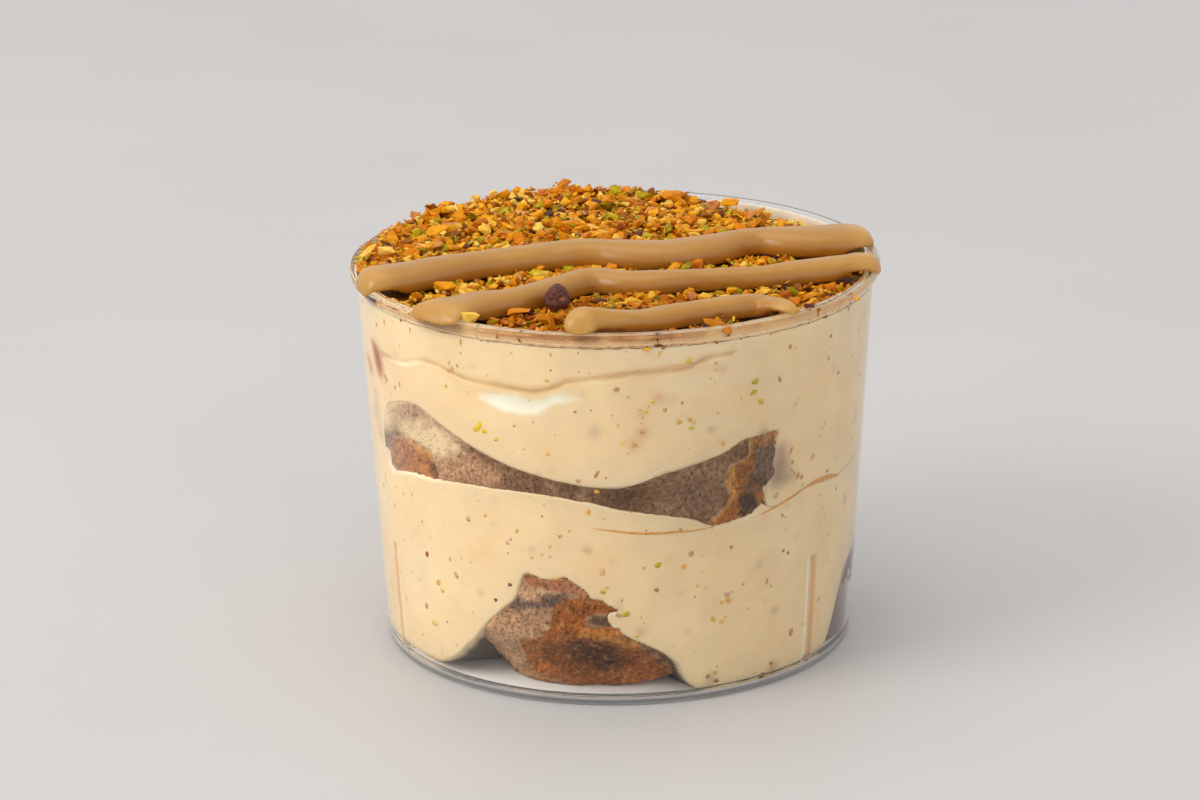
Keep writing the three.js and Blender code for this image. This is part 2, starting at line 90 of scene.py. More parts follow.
def lerp(start: Array, end: Array, share: Array) -> Array:
    """The value a share of the way from start to end."""
    return start + (end - start) * share


def linear(colour: Rgb) -> Array:
    """A display colour of 0 to 255 as scene-linear numbers."""
    shown = np.asarray(colour, float) / 255.0
    return np.where(shown <= 0.04045, shown / 12.92, ((shown + 0.055) / 1.055) ** 2.4)


def polar(radius: Array, angle: Array, z: Array) -> Array:
    """Points at a distance from the cup's axis, at an angle round it.

    Args:
        radius: Distance from the axis.
        angle: Degrees from the front.
        z: Height.

    Returns:
        The points, with x, y and z along the last axis.
    """
    turn = np.radians(angle)
    x, y, z = np.broadcast_arrays(radius * np.sin(turn), -radius * np.cos(turn), z)
    return np.stack([x, y, z], axis=-1)


def turn_of(points: Array) -> Array:
    """Points' angles round the cup, in degrees from its front."""
    return np.degrees(np.arctan2(points[:, 0], -points[:, 1]))


def lid(radius: Array, angles: Array, centre: float, edge: Array) -> Array:
    """Rings from near a layer's middle out to its edge.

    Args:
        radius: The edge's distance from the axis.
        angles: The edge's angles.
        centre: Height of the middle.
        edge: Height of the edge.

    Returns:
        The rings' points.
    """
    shares = (0.3, 0.6, 0.85, 0.97)
    rings = [polar(radius * share, angles, lerp(centre, edge, share**2)) for share in shares]
    return np.array(rings)


def smooth_line(points: Sequence[Sequence[float]], steps: int, closed: bool = False) -> Array:
    """A smooth line through points.

    Args:
        points: Points of any dimension.
        steps: Pieces between two neighbouring points.
        closed: Whether the last point joins the first.

    Returns:
        The line's points.
    """
    knots = np.asarray(points, float)
    if closed:
        knots = np.vstack([knots[-1], knots, knots[:2]])
    else:
        knots = np.vstack([2 * knots[0] - knots[1], knots, 2 * knots[-1] - knots[-2]])
    a, b, c, d = (knots[i : len(knots) - 3 + i, None] for i in range(4))
    t = np.linspace(0.0, 1.0, steps, endpoint=False)[None, :, None]
    line = 0.5 * (
        2 * b + (c - a) * t + (2 * a - 5 * b + 4 * c - d) * t**2 + (3 * b - a - 3 * c + d) * t**3
    )
    line = line.reshape(-1, knots.shape[1])
    return line if closed else np.vstack([line, knots[-2]])


def distance_to(points: Array, line: Array, closed: bool = False) -> Array:
    """How far points of a plane lie from a line.

    Args:
        points: The points, one a row.
        line: The line's points.
        closed: Whether the line's end joins its start.

    Returns:
        Each point's distance.
    """
    starts = line if closed else line[:-1]
    spans = (np.roll(line, -1, axis=0) if closed else line[1:]) - starts
    nearest = np.full(len(points), np.inf)
    for start, span in zip(starts, spans):
        away = points - start
        share = np.clip(away @ span / max(span @ span, 1e-12), 0.0, 1.0)
        gap = away - share[:, None] * span
        nearest = np.minimum(nearest, np.einsum("ij,ij->i", gap, gap))
    return np.sqrt(nearest)


def depth_inside(points: Array, outline: Array) -> Array:
    """How deep points lie inside a closed outline, below 0 outside it.

    Args:
        points: The points, one a row.
        outline: The outline's points.

    Returns:
        Each point's depth.
    """
    x, y = points[:, 0], points[:, 1]
    inside = np.zeros(len(points), bool)
    for (x0, y0), (x1, y1) in zip(outline, np.roll(outline, -1, axis=0)):
        crosses = (y0 > y) != (y1 > y)
        with np.errstate(divide="ignore", invalid="ignore"):
            inside ^= crosses & (x < (x1 - x0) * (y - y0) / (y1 - y0) + x0)
    return np.where(inside, 1.0, -1.0) * distance_to(points, outline, closed=True)


class RoundCurve:
    """A smooth curve round the cup through pairs of an angle and a value."""

    def __init__(self, pairs: Spots) -> None:
        """Keeps the pairs, with a few of them repeated past each end.

        Args:
            pairs: Angles in rising order, each with its value.
        """
        angles, values = np.asarray(pairs, float).T
        self._first = angles[0]
        self._angles = np.concatenate([angles[-2:] - 360, angles, angles[:3] + 360])
        self._values = np.concatenate([values[-2:], values, values[:3]])

    def __call__(self, angle: Array) -> Array:
        """The curve's value at each angle.

        Args:
            angle: The angles.

        Returns:
            The values.
        """
        x, y = self._angles, self._values
        at = (np.asarray(angle, float) - self._first) % 360 + self._first
        i = np.searchsorted(x, at, side="right") - 1
        span = x[i + 1] - x[i]
        t = (at - x[i]) / span
        s = 1 - t
        rise = span * (y[i + 1] - y[i - 1]) / (x[i + 1] - x[i - 1])
        next_rise = span * (y[i + 2] - y[i]) / (x[i + 2] - x[i])
        ends = y[i] * s * s * (1 + 2 * t) + y[i + 1] * t * t * (3 - 2 * t)
        return ends + rise * t * s * s - next_rise * t * t * s


class Noise:
    """Seeded unevenness over points in millimetres."""

    def __init__(self, seed: int) -> None:
        """Draws the lattice's slopes and jitter.

        Args:
            seed: What the draw starts from.
        """
        rng = np.random.default_rng(seed)
        self._order = np.tile(rng.permutation(256), 3)
        slopes = rng.normal(size=(256, 3))
        self._slopes = slopes / np.linalg.norm(slopes, axis=1, keepdims=True)
        self._jitter = rng.random((256, 3))

    def _key(self, cell: Array) -> Array:
        """A number from 0 to 255 for each lattice cell."""
        x, y, z = (cell & 255).T
        return self._order[self._order[self._order[x] + y] + z]

    def smooth(self, points: Array, width: float) -> Array:
        """Soft bumps.

        Args:
            points: Where to look.
            width: A bump's width.

        Returns:
            Heights of about -1 to 1.
        """
        at = points / width
        low = np.floor(at).astype(int)
        part = at - low
        ease = part**3 * (part * (part * 6 - 15) + 10)
        total = np.zeros(len(points))
        for corner in itertools.product((0, 1), repeat=3):
            slopes = self._slopes[self._key(low + corner)]
            weight = np.prod(np.where(corner, ease, 1 - ease), axis=1)
            total += weight * np.einsum("ij,ij->i", slopes, part - corner)
        return 1.6 * total

    def rough(self, points: Array, width: float, octaves: int = 4) -> Array:
        """Bumps of a width with finer ones on them, as heights of about -1 to 1."""
        layers = (self.smooth(points + 17.3 * k, width / 2**k) / 2**k for k in range(octaves))
        return sum(layers) / 1.4

    def patches(
        self, points: Array, width: float, low: float, high: float, octaves: int = 3
    ) -> Array:
        """Soft-edged patches of 0 to 1, which start at one unevenness and are full at another."""
        return smoothstep(low, high, self.rough(points, width, octaves))

    def pits(self, points: Array, width: float) -> Array:
        """How near each point is to the middle of a pore.

        Args:
            points: Where to look.
            width: The usual distance between pores.

        Returns:
            1 at a pore's middle, falling to 0 halfway to the next.
        """
        at = points / width
        low = np.floor(at).astype(int)
        nearest = np.full(len(points), np.inf)
        for corner in itertools.product((-1, 0, 1), repeat=3):
            cell = low + corner
            gap = cell + self._jitter[self._key(cell)] - at
            nearest = np.minimum(nearest, np.einsum("ij,ij->i", gap, gap))
        return np.clip(1 - 2 * np.sqrt(nearest), 0, 1)


# Meshes


def mesh_object(name: str, points: Array, faces: Bodies, smooth: bool = True) -> bpy.types.Object:
    """Makes a mesh piece.

    Args:
        name: The piece's name.
        points: Its points in millimetres.
        faces: Its faces, as indices of points.
        smooth: Whether it is shaded smooth.

    Returns:
        The piece, in the scene.
    """
    mesh = bpy.data.meshes.new(name)
    mesh.from_pydata((np.asarray(points) * MM).tolist(), [], faces)
    mesh.polygons.foreach_set("use_smooth", np.full(len(mesh.polygons), smooth))
    mesh.update()
    piece = bpy.data.objects.new(name, mesh)
    bpy.context.scene.collection.objects.link(piece)
    return piece


def loft(rings: Array) -> tuple[Array, Bodies]:
    """A closed skin over rings of equally many points, each end closed by a fan.

    Args:
        rings: Points by ring and place round the ring, in turning order seen from the last ring.

    Returns:
        The points and the faces.
    """
    count, around = rings.shape[:2]
    index = np.arange(count * around).reshape(count, around)
    low, high = index[:-1], index[1:]
    quads = np.stack([low, np.roll(low, -1, 1), np.roll(high, -1, 1), high], axis=-1).reshape(-1, 4)
    first, last = index[0], index[-1]
    start = np.stack([np.roll(first, -1), first, np.full(around, count * around)], axis=-1)
    end = np.stack([last, np.roll(last, -1), np.full(around, count * around + 1)], axis=-1)
    points = np.vstack([rings.reshape(-1, 3), rings[0].mean(0), rings[-1].mean(0)])
    return points, quads.tolist() + start.tolist() + end.tolist()


def hoop(rings: Array) -> tuple[Array, Bodies]:
    """A closed skin over rings that come back to the first one, as a hoop's do.

    Args:
        rings: Points by ring and place round the ring.

    Returns:
        The points and the faces.
    """
    count, around = rings.shape[:2]
    index = np.arange(count * around).reshape(count, around)
    after = np.roll(index, -1, axis=0)
    quads = np.stack([index, np.roll(index, -1, 1), np.roll(after, -1, 1), after], axis=-1)
    return rings.reshape(-1, 3), quads.reshape(-1, 4).tolist()


def points_of(piece: bpy.types.Object) -> Array:
    """A mesh piece's points in millimetres.

    Args:
        piece: The piece.

    Returns:
        The points, one a row.
    """
    flat = np.empty(3 * len(piece.data.vertices), np.float32)
    piece.data.vertices.foreach_get("co", flat)
    return flat.reshape(-1, 3).astype(float) / MM


def normals_of(piece: bpy.types.Object) -> Array:
    """A mesh piece's normals at its points.

    Args:
        piece: The piece.

    Returns:
        The normals, one a row.
    """
    flat = np.empty(3 * len(piece.data.vertices), np.float32)
    piece.data.vertex_normals.foreach_get("vector", flat)
    return flat.reshape(-1, 3).astype(float)


def move_points(piece: bpy.types.Object, points: Array) -> None:
    """Puts a mesh piece's points, in millimetres, in new places."""
    piece.data.vertices.foreach_set("co", (points * MM).astype(np.float32).ravel())
    piece.data.update()


def baked(piece: bpy.types.Object) -> bpy.types.Object:
    """Turns a piece's modifiers into its mesh and returns the piece.

    Args:
        piece: The piece.

    Returns:
        The same piece.
    """
    graph = bpy.context.evaluated_depsgraph_get()
    mesh = bpy.data.meshes.new_from_object(piece.evaluated_get(graph))
    piece.modifiers.clear()
    piece.data = mesh
    return piece


def even_skin(name: str, node: bpy.types.Object, voxel: float, soften: int = 2) -> bpy.types.Object:
    """A new piece in the form of a CAD node, with evenly spaced points.

    Args:
        name: The piece's name.
        node: The CAD node.
        voxel: Distance between points.
        soften: Rounds of smoothing.

    Returns:
        The piece, in the scene.
    """
    piece = bpy.data.objects.new(name, node.data.copy())
    bpy.context.scene.collection.objects.link(piece)
    remesh = piece.modifiers.new("even", "REMESH")
    remesh.mode = "VOXEL"
    remesh.voxel_size = voxel * MM
    remesh.use_smooth_shade = True
    relax = piece.modifiers.new("relax", "SMOOTH")
    relax.factor = 0.5
    relax.iterations = soften
    bpy.context.view_layer.update()
    piece = baked(piece)
    piece.data.materials.clear()
    return piece


def points_and_faces(form: bmesh.types.BMesh) -> tuple[Array, Bodies]:
    """What a bmesh form holds.

    Args:
        form: The form, which is freed.

    Returns:
        Its points and its faces.
    """
    form.verts.index_update()
    points = np.array([tuple(vertex.co) for vertex in form.verts])
    faces = [[vertex.index for vertex in face.verts] for face in form.faces]
    form.free()
    return points, faces


class Batch:
    """Many small pieces that become one mesh, with a value for each of their points."""

    def __init__(self) -> None:
        """Starts empty."""
        self._points, self._faces, self._values, self.count = [], [], [], 0

    def add(self, points: Array, faces: Bodies, value: float | Rgb) -> None:
        """Adds a piece.

        Args:
            points: Its points.
            faces: Its faces, as indices of its own points.
            value: What each of its points carries.
        """
        self._points.append(points)
        self._faces += [[index + self.count for index in face] for face in faces]
        self._values += [value] * len(points)
        self.count += len(points)

    def build(self, name: str, smooth: bool = True) -> tuple[bpy.types.Object, Array, Array]:
        """The mesh, its points and their values.

        Args:
            name: The mesh's name.
            smooth: Whether it is shaded smooth.

        Returns:
            The piece, the points and the values.
        """
        points = np.vstack(self._points)
        return mesh_object(name, points, self._faces, smooth), points, np.array(self._values)


class Paint:
    """The colours of a mesh's points, laid over one another."""

    def __init__(self, colours: Array) -> None:
        """Starts with a colour for each point."""
        self.values = linear(colours)

    @classmethod
    def even(cls, count: int, colour: Rgb) -> Paint:
        """One colour all over."""
        return cls(np.tile(colour, (count, 1)))

    def lay(self, colour: Rgb, share: Array) -> Paint:
        """Lays a colour over the others, by a share from 0 to 1 at each point."""
        self.values = lerp(self.values, linear(colour), np.clip(share, 0, 1)[:, None])
        return self

    def shade(self, factor: Array) -> Paint:
        """Makes the colours lighter or darker by a factor at each point."""
        self.values = np.clip(self.values * factor[:, None], 0, 1)
        return self

    def store(self, piece: bpy.types.Object) -> None:
        """Writes the colours into the piece's mesh, for its finish to read.

        Args:
            piece: The piece.
        """
        layer = piece.data.color_attributes.new("paint", "FLOAT_COLOR", "POINT")
        rgba = np.ones((len(self.values), 4), np.float32)
        rgba[:, :3] = self.values
        layer.data.foreach_set("color", rgba.ravel())


def number_layer(piece: bpy.types.Object, name: str, values: Array) -> None:
    """Writes a number for each point into the piece's mesh, for its finish to read."""
    layer = piece.data.attributes.new(name, "FLOAT", "POINT")
    layer.data.foreach_set("value", np.asarray(values, np.float32))


def place(piece: bpy.types.Object, finish: bpy.types.Material, slot: Slot, *nodes: str) -> None:
    """Gives a piece its finish, and lets it ride on the cup.

    Args:
        piece: The piece.
        finish: Its material.
        slot: The record's slot that it belongs to; not used.
        nodes: CAD nodes that it stands for.
    """
    piece.data.materials.clear()
    piece.data.materials.append(finish)
    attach(piece, ROOT)
    if nodes:
        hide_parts(*nodes)
    LOG.info("%s: %d faces", piece.name, len(piece.data.polygons))


# Finishes

Value = float | tuple[float, ...] | bpy.types.NodeSocket


class Graph:
    """A finish's shader, put together node by node."""

    def __init__(self, name: str) -> None:
        """Starts an empty material.

        Args:
            name: The material's name.
        """
        self.material = bpy.data.materials.new(name)
        self.material.use_nodes = True
        self._tree = self.material.node_tree
        self._tree.nodes.clear()
        self._output = self.add("OutputMaterial")
        self.spot = self.add("TexCoord").outputs["Object"]

    def add(
        self, kind: str, inputs: dict[str | int, Value] | None = None, **settings: str | bool
    ) -> bpy.types.Node:
        """Adds a node.

        Args:
            kind: Its type, without the leading ShaderNode.
            inputs: Values or sockets for its inputs.
            settings: Its own settings.

        Returns:
            The node.
        """
        node = self._tree.nodes.new("ShaderNode" + kind)
        for key, value in settings.items():
            setattr(node, key, value)
        for key, value in (inputs or {}).items():
            if isinstance(value, bpy.types.NodeSocket):
                self._tree.links.new(value, node.inputs[key])
            else:
                node.inputs[key].default_value = value
        return node

    def layer(self, name: str, output: str = "Color") -> bpy.types.NodeSocket:
        """A layer that the mesh carries."""
        return self.add("Attribute", attribute_name=name).outputs[output]

    def math(self, operation: str, first: Value, second: Value = 0.0) -> bpy.types.NodeSocket:
        """Joins two numbers by one operation."""
        return self.add("Math", {0: first, 1: second}, operation=operation).outputs[0]

    def span(
        self, value: Value, low: float, high: float, start: float = 0.0, end: float = 1.0
    ) -> bpy.types.NodeSocket:
        """Turns the span from low to high into the span from start to end, and stops there."""
        inputs = {"Value": value, "From Min": low, "From Max": high, "To Min": start, "To Max": end}
        return self.add("MapRange", inputs).outputs["Result"]

    def mix(
        self, share: Value, first: Value, second: Value, mode: str = "MIX"
    ) -> bpy.types.NodeSocket:
        """Mixes two colours by a share."""
        inputs = {0: share, 6: first, 7: second}
        return self.add("Mix", inputs, data_type="RGBA", blend_type=mode).outputs[2]

    def noise(
        self, width: float, detail: float = 3.0, harsh: float = 0.55, stretch: float = 1.0
    ) -> bpy.types.NodeSocket:
        """Cloudy noise.

        Args:
            width: Width of its patches in millimetres.
            detail: Sizes of patches within patches.
            harsh: How much the finer ones count.
            stretch: How much taller than wide the patches are.

        Returns:
            A socket of 0 to 1.
        """
        spot = self.add("Mapping", {"Vector": self.spot, "Scale": (1.0, 1.0, 1.0 / stretch)})
        inputs = {"Vector": spot.outputs[0], "Scale": 1 / (width * MM), "Detail": detail}
        return self.add("TexNoise", {**inputs, "Roughness": harsh}).outputs[0]

    def cells(self, width: float) -> bpy.types.Node:
        """Scattered cells, with distances in cell widths and a colour for each."""
        return self.add("TexVoronoi", {"Vector": self.spot, "Scale": 1 / (width * MM)})

    def bump(self, height: Value, depth: float, strength: float = 1.0) -> bpy.types.NodeSocket:
        """Relief from a height of 0 to 1 that is depth millimetres deep."""
        inputs = {"Height": height, "Distance": depth * MM, "Strength": strength}
        return self.add("Bump", inputs).outputs[0]

    def cloud(self, width: float, change: float) -> bpy.types.NodeSocket:
        """A factor round 1 that wanders by a change, in patches of a width."""
        return self.span(self.noise(width, 3), 0.3, 0.7, 1 - change, 1 + change)

    def rgb(self, colour: Rgb) -> tuple[float, ...]:
        """A colour as a socket's value."""
        return (*linear(colour), 1.0)

    def finish(self, shader: bpy.types.Node) -> bpy.types.Material:
        """Joins the last shader to the output and gives the material."""
        self._tree.links.new(shader.outputs[0], self._output.inputs["Surface"])
        return self.material

    def surface(self, base: Value, roughness: float, more: dict[str, Value]) -> bpy.types.Material:
        """The material of one surface, from its colour, its roughness and what else it has."""
        inputs = {"Base Color": base, "Roughness": roughness, **more}
        return self.finish(self.add("BsdfPrincipled", inputs))


@dataclass(frozen=True)
class ClearPlastic:
    """Clear glossy plastic that lets lamps through to what it holds."""

    tint: Rgb = (252, 253, 252)
    index: float = 1.49
    roughness: float = 0.01
    glare: float = 0.35

    def material(self) -> bpy.types.Material:
        """The finished material.

        Returns:
            The material.
        """
        graph = Graph("clear_plastic")
        inputs = {
            "Base Color": graph.rgb(self.tint),
            "Roughness": self.roughness,
            "IOR": self.index,
            "Transmission Weight": 1.0,
            "Specular Tint": (*[self.glare] * 3, 1.0),
        }
        body = graph.add("BsdfPrincipled", inputs)
        gap = graph.add("BsdfTransparent", {"Color": graph.rgb(self.tint)})
        lamp = graph.add("LightPath").outputs["Is Shadow Ray"]
        inputs = {0: lamp, 1: body.outputs[0], 2: gap.outputs[0]}
        return graph.finish(graph.add("MixShader", inputs))


@dataclass(frozen=True)
class SoftCream:
    """Whipped cream, painted by its piece and full of the finest nut dust."""

    name: str
    roughness: float = 0.5
    dust_share: float = 1.0
    dust_spread: float = 2.0
    scatter: float = 0.25
    scatter_depth: float = 1.2
    bubble_width: float = 0.5
    bubble_depth: float = 0.05
    cloud: float = 0.05

    def material(self) -> bpy.types.Material:
        """The finished material.

        Returns:
            The material.
        """
        graph = Graph(self.name)
        paint = graph.layer("paint")
        base = graph.mix(1.0, paint, graph.cloud(7.0, self.cloud), "MULTIPLY")
        dust = graph.cells(self.dust_spread)
        pick = graph.add("SeparateColor", {0: dust.outputs["Color"]}).outputs
        size = graph.math("MULTIPLY", pick[0], 0.11)
        near = graph.math("SUBTRACT", size, dust.outputs["Distance"])
        share = graph.math("MULTIPLY", graph.span(near, 0.0, 0.03), 0.7 * self.dust_share)
        ramp = graph.add("ValToRGB", {0: pick[1]})
        ramp.color_ramp.interpolation = "CONSTANT"
        for at, colour in ((0.0, (205, 150, 60)), (0.45, (150, 120, 40)), (0.75, (120, 75, 50))):
            stop = ramp.color_ramp.elements.new(at) if at else ramp.color_ramp.elements[0]
            stop.color = graph.rgb(colour)
        base = graph.mix(share, base, ramp.outputs[0])
        bubbles = graph.noise(self.bubble_width, 2)
        more = {
            "Normal": graph.bump(bubbles, self.bubble_depth),
            "Subsurface Weight": self.scatter,
            "Subsurface Radius": (1.0, 0.6, 0.35),
            "Subsurface Scale": self.scatter_depth * MM,
        }
        return graph.surface(base, self.roughness, more)


@dataclass(frozen=True)
class SoakedCrumb:
    """Coffee-soaked sponge: fine pores over the colours that its piece is painted with."""

    name: str = "soaked_crumb"
    roughness: float = 0.72
    pore_width: float = 0.8
    grain_width: float = 0.65
    contrast: float = 0.52
    shine: float = 0.3
    relief: float = 0.3

    def material(self) -> bpy.types.Material:
        """The finished material.

        Returns:
            The material.
        """
        graph = Graph(self.name)
        coarse = graph.noise(3.0, 4, 0.6)
        fine = graph.noise(self.grain_width, 4, 0.75, stretch=1.3)
        pores = graph.cells(self.pore_width).outputs["Distance"]
        light = graph.span(coarse, 0.3, 0.7, 1 - 0.4 * self.contrast, 1 + 0.4 * self.contrast)
        grain = graph.span(fine, 0.32, 0.68, 1 - self.contrast, 1 + self.contrast)
        hollow = graph.span(pores, 0.0, 0.25, 1 - self.contrast, 1.05)
        shade = graph.math("MULTIPLY", graph.math("MULTIPLY", light, grain), hollow)
        paint = graph.layer("paint")
        creamy = graph.span(graph.add("SeparateColor", {0: paint}).outputs[1], 0.3, 0.55)
        even = graph.math("SUBTRACT", 1.0, creamy)
        shade = graph.math("ADD", graph.math("MULTIPLY", shade, even), creamy)
        base = graph.mix(1.0, paint, shade, "MULTIPLY")
        relief = graph.math("ADD", fine, graph.span(pores, 0.0, 0.4))
        more = {"Normal": graph.bump(relief, self.relief), "Specular IOR Level": self.shine}
        return graph.surface(base, self.roughness, more)


@dataclass(frozen=True)
class NutMeat:
    """A dry, slightly translucent broken nut, between two tones that vary by piece."""

    name: str
    light: Rgb
    dark: Rgb
    roughness: float = 0.42
    shine: float = 0.08
    scatter: float = 0.3
    scatter_depth: float = 0.8

    def material(self) -> bpy.types.Material:
        """The finished material.

        Returns:
            The material.
        """
        graph = Graph(self.name)
        tone = graph.layer("tone", "Fac")
        cloud = graph.span(graph.noise(1.1, 3), 0.3, 0.7, -0.35, 0.35)
        share = graph.math("ADD", tone, cloud)
        base = graph.mix(graph.span(share, 0, 1), graph.rgb(self.dark), graph.rgb(self.light))
        more = {
            "Normal": graph.bump(graph.noise(0.5, 3), 0.1),
            "Specular IOR Level": self.shine,
            "Subsurface Weight": self.scatter,
            "Subsurface Radius": (1.0, 0.5, 0.1),
            "Subsurface Scale": self.scatter_depth * MM,
        }
        return graph.surface(base, self.roughness, more)


@dataclass(frozen=True)
class PlainFinish:
    """One even colour with a little unevenness, for floors and thin films."""

    name: str
    colour: Rgb
    roughness: float = 0.5
    variation: float = 0.02
    width: float = 60.0
    alpha: float = 1.0
    painted: bool = False

    def material(self) -> bpy.types.Material:
        """The finished material.

        Returns:
            The material.
        """
        graph = Graph(self.name)
        cloud = graph.cloud(self.width, self.variation)
        colour = graph.layer("paint") if self.painted else graph.rgb(self.colour)
        base = graph.mix(1.0, colour, cloud, "MULTIPLY")
        return graph.surface(base, self.roughness, {"Alpha": self.alpha})


# The cup


@dataclass(frozen=True)
class CupSize:
    """The cup's form, which all that it holds follows."""

    height: float = 65.6
    base_radius: float = 40.0
    top_radius: float = 44.0
    wall: float = 1.0
    floor_top: float = 1.2
    floor_underside: float = 0.5
    foot_inner: float = 36.5
    foot_outer: float = 39.4
    foot_rise: float = 0.8
    lip_radius: float = 45.0
    lip_height: float = 1.4
    inner_round: float = 0.9
    rib_angles: tuple[float, ...] = (52.5, 172.5, 292.5)
    rib_width: float = 1.5
    rib_depth: float = 1.3
    rib_top: float = 21.0
    rib_taper: float = 1.5

    def outside(self, z: Array) -> Array:
        """The wall's outer radius at a height."""
        return self.base_radius + (self.top_radius - self.base_radius) * np.asarray(z) / self.height

    def inside(self, z: Array) -> Array:
        """The wall's inner radius at a height."""
        return self.outside(z) - self.wall

    def flat(self, angle: Array, z: Array, centre: float) -> Array:
        """Spots on the wall as millimetres on a flat sheet, with a centre angle at 0.

        Args:
            angle: The spots' angles.
            z: Their heights.
            centre: The angle that becomes 0.

        Returns:
            The spots, one a row.
        """
        turn = (np.asarray(angle, float) - centre + 180) % 360 - 180
        across = np.radians(turn) * self.inside(self.height / 2)
        return np.stack(np.broadcast_arrays(across, z), axis=-1).reshape(-1, 2)

    def rib(self, angle: Array, z: Array, wider: float = 0.0, edge: float = 0.12) -> Array:
        """How much of a stacking rib's depth stands at each spot, from 0 to 1.

        Args:
            angle: The spots' angles.
            z: Their heights.
            wider: How much wider than the rib it is taken on each side.
            edge: Half the width of its sloping edges.

        Returns:
            The share of the rib's depth.
        """
        half = self.rib_width / 2 + wider
        share = np.zeros(np.broadcast(angle, z).shape)
        for centre in self.rib_angles:
            turn = (np.asarray(angle, float) - centre + 180) % 360 - 180
            off = np.abs(np.radians(turn)) * self.inside(self.rib_top / 2)
            share = np.maximum(share, 1 - smoothstep(half - edge, half + edge, off))
        top = self.rib_top + wider
        return share * (1 - smoothstep(top - self.rib_taper, top, z))

    def sectors(self, count: int) -> Array:
        """Angles round the cup, with closer ones at the ribs' edges.

        Args:
            count: How many evenly spaced ones there are at least.

        Returns:
            The angles, in rising order.
        """
        offsets = np.array([0.2, 0.5, 0.63, 0.75, 0.87, 1.0, 1.15, 1.3])
        steps = np.degrees(np.concatenate([-offsets[::-1], [0], offsets]) / self.base_radius)
        extra = np.add.outer(self.rib_angles, steps).ravel()
        even = np.linspace(0, 360, count, endpoint=False)
        nearest = np.abs((even[:, None] - extra[None] + 180) % 360 - 180).min(axis=1)
        return np.sort(np.concatenate([even[nearest > 0.25], extra % 360]))


